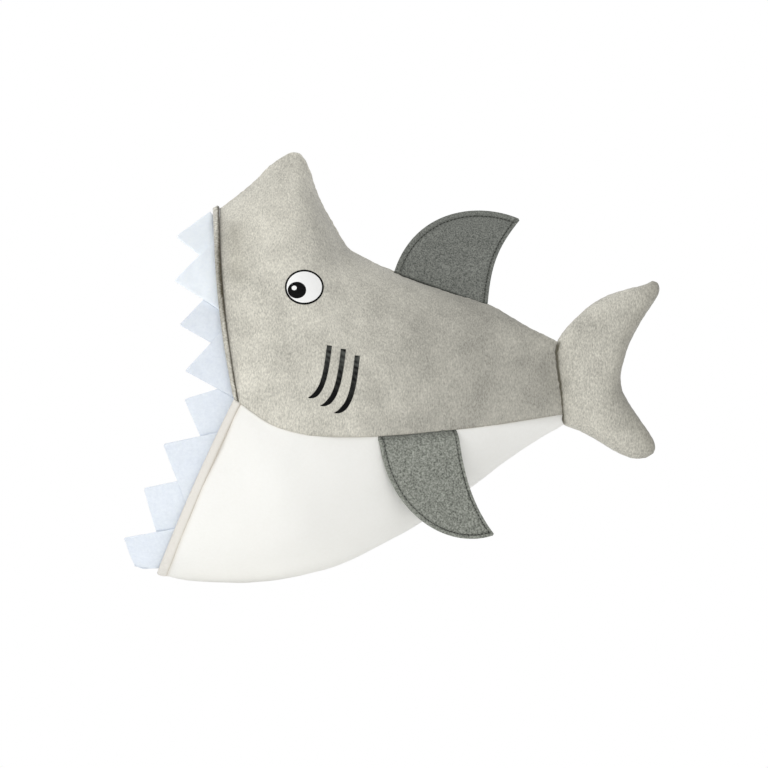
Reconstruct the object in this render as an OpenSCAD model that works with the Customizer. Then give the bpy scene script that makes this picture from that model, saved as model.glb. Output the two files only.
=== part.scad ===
// Plush shark hat, worn with the head in the shark's open mouth.
//
// Frame: the origin is halfway between the two mouth corners, +X points to the
// tail, +Z up, and the shark's left side is on -Y. Millimetres and degrees.
//
// The shell is lofted from stations numbered 0 at the mouth rim to 11 at the
// tail seam. Each station has a point on the top line, one on the side seam
// between grey and white, one on the bottom line, and a half width.

/* [Head and body] */
// Length from the mouth corners to the end of the body at the tail seam
body_length = 243; // [205:1:295]
// Height of the snout tip above the mouth corners
snout_height = 182; // [150:1:220]
// Depth of the jaw below the mouth corners
jaw_depth = 138; // [115:1:166]
// Width across the head at its widest
head_width = 162; // [134:1:196]
// Thickness of the velour or jersey with its foam backing
panel_thickness = 3; // [2:0.5:4]
// Thickness of the lining cloth
lining_thickness = 1.2; // [0.8:0.2:2]
// Depth of the head pocket in stations, from the mouth rim to its back wall
pocket_depth = 7.2; // [6:0.1:7.4]

/* [Mouth] */
// Width of the hem on the upper rim and of the binding on the lower rim, in stations
hem_share = 0.28; // [0.2:0.02:0.4]
// How far the hem stands proud of the panels
hem_rise = 0.8; // [0:0.1:1.5]
// Teeth on each side of each jaw
teeth_per_side = 4; // [4]
// How far an upper tooth reaches out of the mouth
upper_tooth_length = 30; // [20:1:40]
// Length of an upper tooth's base along the rim
upper_tooth_base = 52; // [40:1:60]
// How far a lower tooth reaches out of the mouth
lower_tooth_length = 33; // [20:1:42]
// Length of a lower tooth's base along the rim
lower_tooth_base = 60; // [42:1:64]

/* [Felt fins] */
// Thickness of one layer of felt
felt_thickness = 1.5; // [1:0.25:2.5]
// Distance from the mouth corners to the front of the dorsal fin
dorsal_start = 117; // [100:1:125]
// Distance from the mouth corners to the back of the dorsal fin's base
dorsal_end = 186.5; // [160:0.5:200]
// Height of the dorsal fin above its base
dorsal_height = 70; // [50:1:90]
// Distance from the mouth corners to the front of a pectoral fin
pectoral_start = 103; // [95:1:112]
// Distance from the mouth corners to the back of a pectoral fin's base
pectoral_end = 163.5; // [145:0.5:175]
// How far a pectoral fin hangs below its base
pectoral_drop = 82; // [60:1:100]

/* [Tail fin] */
// Length of the tail fin from its seam to its tips
tail_length = 73; // [55:1:90]
// Height of the tail fin from tip to tip
tail_height = 134; // [105:1:160]
// Thickness of the stuffed tail fin at its middle
tail_thickness = 28; // [20:1:36]
// Thickness of the tail fin's velour
tail_cover_thickness = 1.3; // [0.8:0.1:2]

/* [Eyes and gills] */
// Centre of the eye behind and above the mouth corners
eye_centre = [49.6, 82.7];
// Length of the eye
eye_length = 29.2; // [20:0.2:40]
// Height of the eye
eye_height = 25.6; // [18:0.2:36]
// Width of the dark line round the eye
eye_line = 1.4; // [0.8:0.1:3]
// Thickness of each printed or pressed layer
print_thickness = 0.5; // [0.3:0.1:1]
// Top of the front gill stroke
gill_start = [68.3, 39];
// Width of a gill stroke at its top
gill_width = 3.8; // [2:0.2:6]
// Height of a gill stroke
gill_height = 40; // [25:1:50]

/* [Clearances] */
// Half the gap between two pieces sewn edge to edge
seam_gap = 0.15; // [0.1:0.05:0.3]
// Gap between layers that lie on each other
layer_gap = 0.4; // [0.3:0.1:0.8]
// Gap between the body and the round base of a felt fin
fin_gap = 0.6; // [0.4:0.1:1.5]
// Gap between the end of the body and the tail fin's hinge line
tail_gap = 2; // [1.8:0.1:3]

/* [Hidden] */
last_station = 11;
// The lofted lines are drawn for this length, height, depth and half width
pattern_length = 243;
pattern_height = 182;
pattern_depth = 138;
pattern_half_width = 81;
top_line = [
    [-18, 139], [0, 150], [24, 171], [43, 182], [54, 170], [66, 140],
    [84, 110], [113, 95], [150, 81], [186, 69], [215, 54.5], [239, 41.5]
];
seam_line = [
    [-3, 0], [12, -11], [24, -19], [37, -24], [50, -27], [63, -28],
    [80, -28.5], [108, -28], [145, -25], [182, -21], [215, -16], [243, -11.5]
];
bottom_line = [
    [-60.5, -131], [-38, -135.5], [-12, -137.5], [12, -138], [34, -136], [56, -131],
    [82, -122.5], [112, -107.5], [150, -83], [186, -59], [215, -38], [245, -19]
];
half_width_line = [74, 78, 80, 81, 80, 78, 73, 63, 48, 32, 17, 2.5];
// 1 makes a section a ridge at the top line, and 0.5 makes it half an ellipse
ridge_line = [0.7, 0.8, 0.9, 1, 0.95, 0.8, 0.72, 0.68, 0.65, 0.62, 0.6, 0.55];
// How far each section bows towards the face halfway down
bow_line = [4, 2, 0, 0, 0, 0, 0, 0, 0, 0, 0, 0];
// Height of the pocket's ceiling, as a share of the way from the top line to the seam
ceiling_line = [0.04, 0.12, 0.25, 0.32, 0.28, 0.16, 0.1, 0.12, 0.15, 0.15, 0.15, 0.15];
// How much deeper a layer lies at the top ridge than on the flanks
ridge_depth = 1.6;

lining_inset = panel_thickness + layer_gap;
stuffing_inset = lining_inset + lining_thickness + layer_gap;
fin_radius = felt_thickness + layer_gap / 8;
grey = [0.76, 0.75, 0.71];
white = [0.95, 0.95, 0.93];
felt_grey = [0.48, 0.5, 0.49];
tooth_blue = [0.88, 0.92, 0.97];
print_black = [0.1, 0.1, 0.1];

sides = ["left", "right"];
jaws = ["upper", "lower"];
function tooth_name(jaw, side, i) = str(jaw, "_tooth_", side, "_", i);

// ---------- Curves ----------

// Smooth curve through the values of a list, where u counts its entries
function through(p, u) =
    let (n = len(p) - 1, i = min(floor(u), n - 1), f = u - i,
         a = i > 0 ? p[i - 1] : 2 * p[0] - p[1], b = p[i], c = p[i + 1],
         d = i + 2 <= n ? p[i + 2] : 2 * p[n] - p[n - 1])
    b + f * (c - a) / 2 + f * f * (a - 5 * b / 2 + 2 * c - d / 2)
      + f * f * f * (3 * (b - c) / 2 + (d - a) / 2);

// Point of a cubic curve with four control points, at f from 0 to 1
function cubic(p, f) =
    let (g = 1 - f)
    g * g * g * p[0] + 3 * g * g * f * p[1] + 3 * g * f * f * p[2] + f * f * f * p[3];

// n + 1 even steps from a to b
function steps(a, b, n) = [for (i = [0:n]) a + (b - a) * i / n];

// ---------- The lofted shell ----------

// A pattern point stretched to the driving sizes
function fitted(p) = [
    p[0] * body_length / pattern_length,
    p[1] > 0 ? p[1] * snout_height / pattern_height : p[1] * jaw_depth / pattern_depth
];
function top_at(u) = fitted(through(top_line, u));
function seam_at(u) = fitted(through(seam_line, u));
function bottom_at(u) = fitted(through(bottom_line, u));
function half_width_at(u) = through(half_width_line, u) * head_width / 2 / pattern_half_width;

// Half width of a layer that lies inset inside the shell
function inset_width(u, inset) = max(half_width_at(u) - inset, 0.4);

// Point between the top line (t = 0) and the side seam (t = 1) on the right side.
// The top of the section may be lowered by a share of its height, as the pocket's is.
function upper_point(u, t, inset, lowered = 0, gap = 0) =
    let (top = top_at(u), seam = seam_at(u), down = (seam - top) / norm(seam - top),
         start = top + (seam - top) * lowered + down * inset * ridge_depth,
         across = pow(1 - pow(1 - t, 2), through(ridge_line, u)),
         flat = start + (seam - start) * t)
    [flat[0] - through(bow_line, u) * 4 * t * (1 - t),
     gap + (inset_width(u, inset) - gap) * across,
     flat[1] + gap];

// Point on the belly, from the left seam (turn = -90) to the right one (turn = 90)
function lower_point(u, turn, inset, gap = 0) =
    let (bottom = bottom_at(u), seam = seam_at(u), up = (seam - bottom) / norm(seam - bottom),
         end = bottom + up * inset, share = cos(turn), flat = seam + (end - seam) * share)
    [flat[0] - through(bow_line, u) / 2 * 4 * share * (1 - share),
     inset_width(u, inset) * sin(turn),
     flat[1] - gap];

function mirrored(points) = [for (p = points) [p[0], -p[1], p[2]]];
function reversed(points) = [for (i = [len(points) - 1:-1:0]) points[i]];

// Closed section of the shell at station u
function section(u, inset, lowered, upper_parts = 8, lower_parts = 14) =
    let (right = [for (t = steps(0, 1, upper_parts)) upper_point(u, t, inset, lowered)],
         left = [for (i = [upper_parts:-1:1]) right[i]],
         below = [for (turn = steps(90, -90, lower_parts)) lower_point(u, turn, inset)])
    concat(right, [for (i = [1:lower_parts - 1]) below[i]], mirrored(left));

// Section of the pocket at station u, shrunk about its middle
function pocket_ring(u, inset, size = 1) =
    let (ring = section(u, inset, through(ceiling_line, u)), middle = mean(ring))
    [for (p = ring) middle + (p - middle) * size];
function mean(points) = [for (i = [0:2]) sum([for (p = points) p[i]]) / len(points)];
function sum(values, i = 0) = i < len(values) ? values[i] + sum(values, i + 1) : 0;

// Station whose line from top to side seam passes through a point of the side view
function station_through(p, low = 1, high = 10, tries = 16) =
    let (middle = (low + high) / 2, top = top_at(middle))
    tries == 0 ? middle
    : cross(seam_at(middle) - top, p - top) > 0 ? station_through(p, middle, high, tries - 1)
    : station_through(p, low, middle, tries - 1);

// Point of the right flank at a place of the side view, lifted off its surface
function flank_point(p, lift) =
    let (u = station_through(p), top = top_at(u), t = norm(p - top) / norm(seam_at(u) - top),
         surface = upper_point(u, min(t, 1), 0))
    [p[0], surface[1] + lift, p[1]];

// Stations on the top line and on the side seam at a distance behind the mouth
function station_on(line, x, low = 0, high = 11, tries = 16) =
    let (middle = (low + high) / 2)
    tries == 0 ? middle
    : fitted(through(line, middle))[0] < x ? station_on(line, x, middle, high, tries - 1)
    : station_on(line, x, low, middle, tries - 1);

// ---------- Solids from grids of points ----------

function volume_of(points, faces) =
    sum([for (f = faces) points[f[0]] * cross(points[f[1]], points[f[2]])]) / 6;

// The same faces, turned so that the solid's outside is outside
function turned_out(points, faces) =
    volume_of(points, faces) < 0 ? faces : [for (f = faces) [f[2], f[1], f[0]]];

// Two triangles of a quad
function halves(a, b, c, d) = [[a, b, c], [a, c, d]];

module solid(points, faces) {
    polyhedron(points, turned_out(points, faces), convexity = 8);
}

// Flat or curved slab between two grids of equal size
module slab(front, back) {
    rows = len(front);
    cols = len(front[0]);
    points = [for (grid = [front, back]) for (row = grid) each row];
    function at(side, r, c) = side * rows * cols + r * cols + c;
    faces = concat(
        [for (r = [0:rows - 2]) for (c = [0:cols - 2])
            each halves(at(0, r, c), at(0, r, c + 1), at(0, r + 1, c + 1), at(0, r + 1, c))],
        [for (r = [0:rows - 2]) for (c = [0:cols - 2])
            each halves(at(1, r, c), at(1, r + 1, c), at(1, r + 1, c + 1), at(1, r, c + 1))],
        [for (c = [0:cols - 2])
            each halves(at(0, 0, c), at(1, 0, c), at(1, 0, c + 1), at(0, 0, c + 1))],
        [for (c = [0:cols - 2]) each halves(at(0, rows - 1, c), at(0, rows - 1, c + 1),
            at(1, rows - 1, c + 1), at(1, rows - 1, c))],
        [for (r = [0:rows - 2])
            each halves(at(0, r, 0), at(0, r + 1, 0), at(1, r + 1, 0), at(1, r, 0))],
        [for (r = [0:rows - 2]) each halves(at(0, r, cols - 1), at(1, r, cols - 1),
            at(1, r + 1, cols - 1), at(0, r + 1, cols - 1))]
    );
    solid(points, faces);
}

// Solid through closed rings of equal size, closed to a point at both ends
module loft(first_pole, rings, last_pole) {
    n = len(rings[0]);
    last = len(rings) - 1;
    points = concat([first_pole, last_pole], [for (ring = rings) each ring]);
    function at(r, i) = 2 + r * n + i % n;
    faces = concat(
        [for (i = [0:n - 1]) [0, at(0, i + 1), at(0, i)]],
        [for (r = [0:last - 1]) for (i = [0:n - 1])
            each halves(at(r, i), at(r, i + 1), at(r + 1, i + 1), at(r + 1, i))],
        [for (i = [0:n - 1]) [1, at(last, i), at(last, i + 1)]]
    );
    solid(points, faces);
}

// ---------- Panels, lining and stuffing ----------

side_stations = concat([hem_share + 0.01], steps(0.6, 6, 18), steps(6.5, last_station, 9));
panel_steps = steps(0, 1, 8);
belly_turns = steps(-90, 90, 14);

module side_panel_right() {
    color(grey) slab(
        [for (u = side_stations) [for (t = panel_steps) upper_point(u, t, 0, 0, seam_gap)]],
        [for (u = side_stations)
            [for (t = panel_steps) upper_point(u, t, panel_thickness, 0, seam_gap)]]
    );
}
module side_panel_left() mirror([0, 1, 0]) side_panel_right();

module belly_panel() {
    color(white) slab(
        [for (u = side_stations) [for (a = belly_turns) lower_point(u, a, 0, seam_gap)]],
        [for (u = side_stations)
            [for (a = belly_turns) lower_point(u, a, panel_thickness, seam_gap)]]
    );
}

// A pocket whose back wall is closed in three shrinking rings
module head_lining() {
    front = hem_share + 0.17;
    wall = lining_thickness / 30;
    stations = concat([front], steps(1, pocket_depth, 9));
    outer = concat(
        [for (u = stations) pocket_ring(u, lining_inset)],
        [pocket_ring(pocket_depth + 0.12, lining_inset, 0.85),
         pocket_ring(pocket_depth + 0.18, lining_inset, 0.45)]
    );
    inside = lining_inset + lining_thickness;
    inner = concat(
        [for (u = stations) pocket_ring(u, inside)],
        [pocket_ring(pocket_depth + 0.12 - wall, inside, 0.85),
         pocket_ring(pocket_depth + 0.18 - wall, inside, 0.45)]
    );
    color(white) loft(
        mean(pocket_ring(pocket_depth + 0.2 - wall, inside)),
        concat(reversed(inner), outer),
        mean(pocket_ring(pocket_depth + 0.2, lining_inset))
    );
}

// Fibre lies this loosely in its cover
fibre_gap = 1.2;

// Fibre that fills the snout above the pocket's ceiling
module snout_stuffing() {
    function ring(u) =
        let (share = 0.85 * through(ceiling_line, u),
             right = [for (t = steps(0, share, 6)) upper_point(u, t, lining_inset + fibre_gap)])
        concat(right, mirrored([for (i = [6:-1:1]) right[i]]));
    rings = [for (u = steps(1, 5, 12)) ring(u)];
    color(white) loft(mean(rings[0]), rings, mean(rings[12]));
}

// Fibre that fills the body behind the pocket
module body_stuffing() {
    rings = [for (u = steps(pocket_depth + 0.4, last_station - 0.5, 9)) section(u, stuffing_inset, 0)];
    color(white) loft(mean(rings[0]), rings, mean(rings[9]));
}

// ---------- Mouth ----------

module upper_rim_hem() {
    shares = concat([for (t = steps(1, 0.125, 7)) -t], steps(0, 1, 8));
    function row(u, inset) = [for (t = shares)
        let (p = upper_point(u, abs(t), inset)) [p[0], t < 0 ? -p[1] : p[1], p[2] + seam_gap]];
    color(grey) slab(
        [for (u = [0, hem_share / 2, hem_share]) row(u, -hem_rise)],
        [for (u = [0, hem_share / 2, hem_share]) row(u, panel_thickness)]
    );
}

module lower_rim_binding() {
    turns = steps(-90, 90, 28);
    function row(u, inset) = [for (a = turns) lower_point(u, a, inset, seam_gap)];
    color(white) slab(
        [for (u = [0, hem_share / 2, hem_share]) row(u, -hem_rise)],
        [for (u = [0, hem_share / 2, hem_share]) row(u, panel_thickness)]
    );
}

// Teeth of one side sit at an even pitch along the rim, where 0 is the top line or
// the mouth corner and 1 the other end. Every second tooth lies behind its neighbours.
upper_first_tip = 0.137;
upper_tip_pitch = 0.241;
lower_first_tip = 0.11;
lower_tip_pitch = 0.262;
// How far the tip sits ahead of the middle of its base, along the rim
upper_tip_lead = 7;
lower_tip_lead = -4;
tooth_tuck = 0.22;
rim_height = fitted(top_line[0])[1];
jaw_rim_length = norm(fitted(bottom_line[0]) - fitted(seam_line[0]));

// Point of the rim, a share of the way along the upper or the lower leg
function rim_point(jaw, share, inset, u = 0) =
    jaw == "upper" ? upper_point(u, share, inset, 0, seam_gap)
    : lower_point(u, max(90 * (1 - share), 0) > 0 ? acos(share) : 0, inset, seam_gap) + [0, seam_gap, 0];

module tooth(jaw, i) {
    upper = jaw == "upper";
    rim = upper ? rim_height : jaw_rim_length;
    tip = upper ? upper_first_tip + (i - 1) * upper_tip_pitch
        : lower_first_tip + (i - 1) * lower_tip_pitch;
    half = (upper ? upper_tooth_base : lower_tooth_base) / 2 / rim;
    middle = tip - (upper ? upper_tip_lead : lower_tip_lead) / rim;
    from = middle - half;
    to = middle + half;
    inset = panel_thickness + 2 * layer_gap + (i % 2) * (felt_thickness + layer_gap);
    length = upper ? upper_tooth_length : lower_tooth_length;
    // Out of the mouth: straight ahead above, square to the slanting rim below
    away = upper ? [-1, 0, 0] : [-0.915, 0, 0.403];
    // The places across the tooth, a share f of the way to its tip. A tooth that would
    // reach past the middle plane or the mouth corner is cut there.
    function across(f) = steps(max(from + (tip - from) * f, 0), min(to + (tip - to) * f, 1), 6);
    function grid(depth) = concat(
        [[for (s = across(0)) rim_point(jaw, s, depth, tooth_tuck)]],
        [for (f = [0, 0.33, 0.66, 0.98])
            [for (s = across(f)) rim_point(jaw, s, depth) + away * length * f]]
    );
    color(tooth_blue) slab(grid(inset), grid(inset + felt_thickness));
}

// ---------- Eyes and gills ----------

// Oval patch that follows the flank
module oval(centre, size, layer) {
    corners = 24;
    function ring(share, lift) = [for (i = [0:corners - 1])
        flank_point(centre + share / 2 * [size[0] * cos(i * 360 / corners),
            size[1] * sin(i * 360 / corners)], lift)];
    low = layer_gap + layer * (print_thickness + layer_gap / 4);
    high = low + print_thickness;
    loft(
        flank_point(centre, low),
        [ring(0.5, low), ring(1, low), ring(1, high), ring(0.5, high)],
        flank_point(centre, high)
    );
}

pupil_centre = eye_centre + [-0.185 * eye_length, -0.08 * eye_height];
highlight_centre = pupil_centre + [-0.06 * eye_length, 0.07 * eye_height];
eye_size = [eye_length, eye_height];

module eye_outline() color(print_black) oval(eye_centre, eye_size, 0);
module eye_white() color(white) oval(eye_centre, eye_size - 2 * [eye_line, eye_line], 1);
module eye_pupil() color(print_black) oval(pupil_centre, 0.47 * eye_size, 2);
module eye_highlight() color(white) oval(highlight_centre, 0.13 * eye_size, 3);

// Three strokes that hook forwards and end in a point
module gill_strokes() {
    pitch = [10.6, -3.8];
    function middle(i, f) = gill_start + i * pitch + gill_height * cubic(
        [[0, 0], [0.03, -0.5], [-0.06, -0.88], [-0.45, -1]], f);
    function row(i, f, lift) =
        let (half = gill_width / 2 * (f < 0.55 ? 1 : 1 - 0.9 * pow((f - 0.55) / 0.45, 1.5)),
             along = middle(i, min(f + 0.02, 1)) - middle(i, f - 0.02),
             side = [-along[1], along[0]] / norm(along))
        [for (s = [-1, 0, 1]) flank_point(middle(i, f) + side * half * s, lift)];
    low = layer_gap / 2;
    color(print_black) for (i = [0:2]) slab(
        [for (f = steps(0, 1, 10)) row(i, f, low + print_thickness)],
        [for (f = steps(0, 1, 10)) row(i, f, low)]
    );
}

// ---------- Felt fins ----------

// Outlines as shares of the base and of the reach, along and away from the base:
// the leading edge runs from the front of the base to the tip, the trailing edge back
dorsal_leading = [[0, 0], [-0.01, 0.69], [0.56, 1.01], [1.03, 0.97]];
dorsal_trailing = [[1.03, 0.97], [0.91, 0.59], [0.89, 0.41], [1, 0]];
pectoral_leading = [[0, 0], [-0.045, -0.83], [0.667, -0.99], [1.323, -1.01]];
pectoral_trailing = [[1.323, -1.01], [1.015, -0.585], [0.98, -0.456], [1, 0]];
edge_parts = 16;

function scaled_curve(curve, size) = [for (p = curve) [p[0] * size[0], p[1] * size[1]]];

// One layer of felt on the +Y side of a fin's middle plane, with a round base that
// turns on the X axis
module felt_layer(leading, trailing, size) {
    lead = scaled_curve(leading, size);
    trail = scaled_curve(trailing, size);
    outline = concat(
        [for (f = steps(0, 1, edge_parts)) cubic(lead, f)],
        [for (i = [1:edge_parts - 1]) cubic(trail, i / edge_parts)],
        [[size[0], 0]]
    );
    gap = layer_gap / 8;
    color(felt_grey) union() {
        translate([0, fin_radius, 0]) rotate([90, 0, 0])
            linear_extrude(fin_radius - gap) polygon(outline);
        intersection() {
            rotate([0, 90, 0]) cylinder(r = fin_radius, h = size[0], $fn = 32);
            translate([0, gap, -2 * fin_radius])
                cube([size[0], 2 * fin_radius, 4 * fin_radius]);
        }
    }
}

stitch_pitch = 6;
stitch_length = 4;
stitch_width = 0.6;
stitch_inset = 3;

// Stitches on both faces of a fin, along both free edges
module stitch_rows(leading, trailing, size) {
    // The outline runs clockwise on a fin that stands up, and the other way on one that hangs
    inward = leading[3][1] > 0 ? 1 : -1;
    color(print_black) for (curve = [leading, trailing], face = [-1, 1]) {
        edge = scaled_curve(curve, size);
        count = round(norm(edge[3] - edge[0]) * 1.15 / stitch_pitch);
        for (i = [1:count - 2]) {
            along = cubic(edge, (i + 0.6) / count) - cubic(edge, (i + 0.4) / count);
            side = [along[1], -along[0]] / norm(along) * stitch_inset * inward;
            spot = cubic(edge, (i + 0.5) / count) + side;
            translate([spot[0], face * (fin_radius + stitch_width / 2 + layer_gap / 8), spot[1]])
                rotate([0, -atan2(along[1], along[0]), 0])
                    cube([stitch_length, stitch_width, stitch_width], center = true);
        }
    }
}

// Puts the X axis on the line from one point to another, with Z still upright
module on_line(from, to) {
    d = to - from;
    translate(from) rotate([0, 0, atan2(d[1], d[0])])
        rotate([0, -atan2(d[2], norm([d[0], d[1]])), 0]) children();
}

function ridge_point(x) =
    let (top = top_at(station_on(top_line, x))) [top[0], 0, top[1] + fin_radius + fin_gap];
dorsal_front = ridge_point(dorsal_start);
dorsal_back = ridge_point(dorsal_end);
dorsal_size = [norm(dorsal_back - dorsal_front), dorsal_height];

module on_back() on_line(dorsal_front, dorsal_back) children();
module dorsal_felt_right() on_back() felt_layer(dorsal_leading, dorsal_trailing, dorsal_size);
module dorsal_felt_left() on_back() mirror([0, 1, 0])
    felt_layer(dorsal_leading, dorsal_trailing, dorsal_size);
module dorsal_stitching() on_back() stitch_rows(dorsal_leading, dorsal_trailing, dorsal_size);

// Point just outside the right side seam. The bulge keeps the straight base of the fin
// clear of the seam, which curves outwards between its ends.
seam_bulge = 0.8;
function seam_point(x) =
    let (u = station_on(seam_line, x), seam = seam_at(u))
    [seam[0], half_width_at(u) + fin_radius + fin_gap + seam_bulge, seam[1]];
pectoral_front = seam_point(pectoral_start);
pectoral_back = seam_point(pectoral_end);
pectoral_size = [norm(pectoral_back - pectoral_front), pectoral_drop];

module on_flank() on_line(pectoral_front, pectoral_back) children();
module pectoral_outer_felt() on_flank()
    felt_layer(pectoral_leading, pectoral_trailing, pectoral_size);
module pectoral_inner_felt() on_flank() mirror([0, 1, 0])
    felt_layer(pectoral_leading, pectoral_trailing, pectoral_size);
module pectoral_stitching() on_flank()
    stitch_rows(pectoral_leading, pectoral_trailing, pectoral_size);

// ---------- Tail fin ----------

// Front and rear edge from the upper tip to the lower one, drawn 73 long and 134 high
// from the middle of the tail seam, with the share of the full thickness at each place
pattern_tail = [73, 134];
tail_front_edge = [
    [68.5, 74.5], [62, 76.2], [50, 71.5], [33, 65], [16, 53], [3, 38], [-2.6, 30.2],
    [0, 0], [3, -30.4], [12, -36.5], [28, -46.5], [45, -54.5], [58, -57.3], [66.5, -54]
];
tail_rear_edge = [
    [69, 74.2], [72.8, 69.5], [70, 61], [62, 50], [54.5, 38], [49, 26], [45.5, 17],
    [43.3, 4], [46, -9], [52, -21], [60, -34], [68.5, -44], [70, -50], [67, -53.6]
];
tail_fullness = [0.02, 0.3, 0.5, 0.7, 0.86, 0.96, 1, 1, 1, 0.95, 0.78, 0.55, 0.32, 0.02];
last_tail_station = 13;
tail_lean = atan2(fitted(bottom_line[last_station])[0] - fitted(top_line[last_station])[0],
    fitted(top_line[last_station])[1] - fitted(bottom_line[last_station])[1]);
tail_root = (top_at(last_station) + bottom_at(last_station)) / 2 + [tail_gap, 0];

function tail_fitted(p) =
    [p[0] * tail_length / pattern_tail[0], p[1] * tail_height / pattern_tail[1]];
function tail_front(s) =
    let (p = tail_fitted(through(tail_front_edge, s)), hinge = -p[1] * tan(tail_lean))
    [max(p[0], hinge), p[1]];
function tail_rear(s) = tail_fitted(through(tail_rear_edge, s));

// Point of the tail fin, s along it from tip to tip and v from front to rear
function tail_point(s, v, half) =
    let (front = tail_front(s), flat = tail_root + front + (tail_rear(s) - front) * v)
    [flat[0], half, flat[1]];
function tail_bulge(s, v) =
    (tail_thickness / 2 - tail_cover_thickness) * through(tail_fullness, s)
    * pow(1 - pow(2 * v - 1, 2), 0.85);

module tail_cover_right() {
    rows = steps(0, last_tail_station, 26);
    cols = concat([0, 0.04], steps(0.12, 0.88, 6), [0.96, 1]);
    color(grey) slab(
        [for (s = rows) [for (v = cols)
            tail_point(s, v, tail_cover_thickness + seam_gap + tail_bulge(s, v))]],
        [for (s = rows) [for (v = cols) tail_point(s, v, seam_gap + tail_bulge(s, v))]]
    );
}
module tail_cover_left() mirror([0, 1, 0]) tail_cover_right();

module tail_stuffing() {
    rows = steps(1, last_tail_station - 1, 16);
    cols = steps(0.14, 0.86, 6);
    function face(side) = [for (s = rows) [for (v = cols)
        tail_point(s, v, side * max(tail_bulge(s, v) - layer_gap, 0.3))]];
    color(white) slab(face(-1), face(1));
}

// ---------- The hat ----------

module on_side(side) {
    if (side == "left") mirror([0, 1, 0]) children();
    else children();
}

side_panel_left();
side_panel_right();
belly_panel();
head_lining();
snout_stuffing();
body_stuffing();
upper_rim_hem();
lower_rim_binding();
for (jaw = jaws, side = sides, i = [1:teeth_per_side])
    on_side(side) tooth(jaw, i);
for (side = sides) {
    on_side(side) eye_outline();
    on_side(side) eye_white();
    on_side(side) eye_pupil();
    on_side(side) eye_highlight();
    on_side(side) gill_strokes();
    on_side(side) pectoral_outer_felt();
    on_side(side) pectoral_inner_felt();
    on_side(side) pectoral_stitching();
}
dorsal_felt_left();
dorsal_felt_right();
dorsal_stitching();
tail_cover_left();
tail_cover_right();
tail_stuffing();
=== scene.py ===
"""Looks of the plush shark hat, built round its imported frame.

Frame: metres, the origin halfway between the mouth corners, +X to the tail, +Z up,
and the shark's left side on -Y. Shapes are worked out for the right side, on +Y, and
mirrored for the left one.
"""

import logging
import math
from dataclasses import dataclass, field, replace
from enum import Enum
from functools import cached_property

import bpy
import numpy as np
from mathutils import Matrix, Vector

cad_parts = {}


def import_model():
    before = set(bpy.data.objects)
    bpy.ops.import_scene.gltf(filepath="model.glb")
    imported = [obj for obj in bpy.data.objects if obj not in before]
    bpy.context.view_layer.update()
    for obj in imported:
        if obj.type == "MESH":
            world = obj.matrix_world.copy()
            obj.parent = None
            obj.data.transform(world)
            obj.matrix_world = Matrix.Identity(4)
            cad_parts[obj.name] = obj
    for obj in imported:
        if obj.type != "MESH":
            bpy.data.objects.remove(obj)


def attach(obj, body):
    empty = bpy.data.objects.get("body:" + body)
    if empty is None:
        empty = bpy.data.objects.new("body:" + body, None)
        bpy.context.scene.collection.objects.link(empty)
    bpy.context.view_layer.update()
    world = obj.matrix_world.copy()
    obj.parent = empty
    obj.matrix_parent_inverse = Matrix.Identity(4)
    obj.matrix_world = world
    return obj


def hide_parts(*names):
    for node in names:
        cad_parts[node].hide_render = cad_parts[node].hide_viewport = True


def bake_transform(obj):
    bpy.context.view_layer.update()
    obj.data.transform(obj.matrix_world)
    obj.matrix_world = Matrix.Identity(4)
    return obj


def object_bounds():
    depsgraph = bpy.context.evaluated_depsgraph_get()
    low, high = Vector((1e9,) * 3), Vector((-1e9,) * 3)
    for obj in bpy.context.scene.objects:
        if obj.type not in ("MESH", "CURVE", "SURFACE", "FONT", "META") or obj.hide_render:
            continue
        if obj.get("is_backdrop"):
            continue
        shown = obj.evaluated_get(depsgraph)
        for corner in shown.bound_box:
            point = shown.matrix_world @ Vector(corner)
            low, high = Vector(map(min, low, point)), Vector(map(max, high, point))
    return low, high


LOG = logging.getLogger("shark_hat")
MM = 0.001
SEAM_GAP = 0.15 * MM
LAYER_GAP = 0.4 * MM


class Side(Enum):
    """A side of the shark, with the sign of its Y axis."""

    LEFT = -1
    RIGHT = 1

    @property
    def word(self) -> str:
        """The side's name in piece names."""
        return self.name.lower()


class Jaw(Enum):
    """Upper or lower leg of the mouth rim."""

    UPPER = "upper"
    LOWER = "lower"


# ---------------------------------------------------------------- curves and grids


def unit(vectors: np.ndarray) -> np.ndarray:
    """Vectors of length one."""
    return vectors / np.maximum(np.linalg.norm(vectors, axis=-1, keepdims=True), 1e-12)


def bell(distance: np.ndarray, width: float) -> np.ndarray:
    """Bell curve: e to the power of minus the square of distance over width."""
    return np.exp(-((distance / width) ** 2))


def through(values: np.ndarray, u: np.ndarray) -> np.ndarray:
    """Smooth curve through a list of values.

    A cubic between each pair of neighbours b and c has the slopes that the values a
    before and d after them give, with the list's ends carried on in a straight line.

    Args:
        values: numbers, or points one to a row.
        u: places along the list, where 0 is its first entry and 1 the next.

    Returns:
        The values at those places.
    """
    p = np.asarray(values, float)
    u = np.asarray(u, float)
    padded = np.concatenate([[2 * p[0] - p[1]], p, [2 * p[-1] - p[-2]]])
    i = np.clip(np.floor(u).astype(int), 0, len(p) - 2)
    f = (u - i)[(...,) + (None,) * (p.ndim - 1)]
    a, b, c, d = (padded[i + k] for k in range(4))
    return (
        b
        + f * (c - a) / 2
        + f**2 * (a - 2.5 * b + 2 * c - d / 2)
        + f**3 * (1.5 * (b - c) + (d - a) / 2)
    )


def cubic(points: np.ndarray, f: np.ndarray) -> np.ndarray:
    """Points at shares f of a cubic curve with four control points."""
    p = np.asarray(points, float)
    f = np.asarray(f, float)[..., None]
    g = 1 - f
    return g**3 * p[0] + 3 * g * g * f * p[1] + 3 * g * f * f * p[2] + f**3 * p[3]


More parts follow.
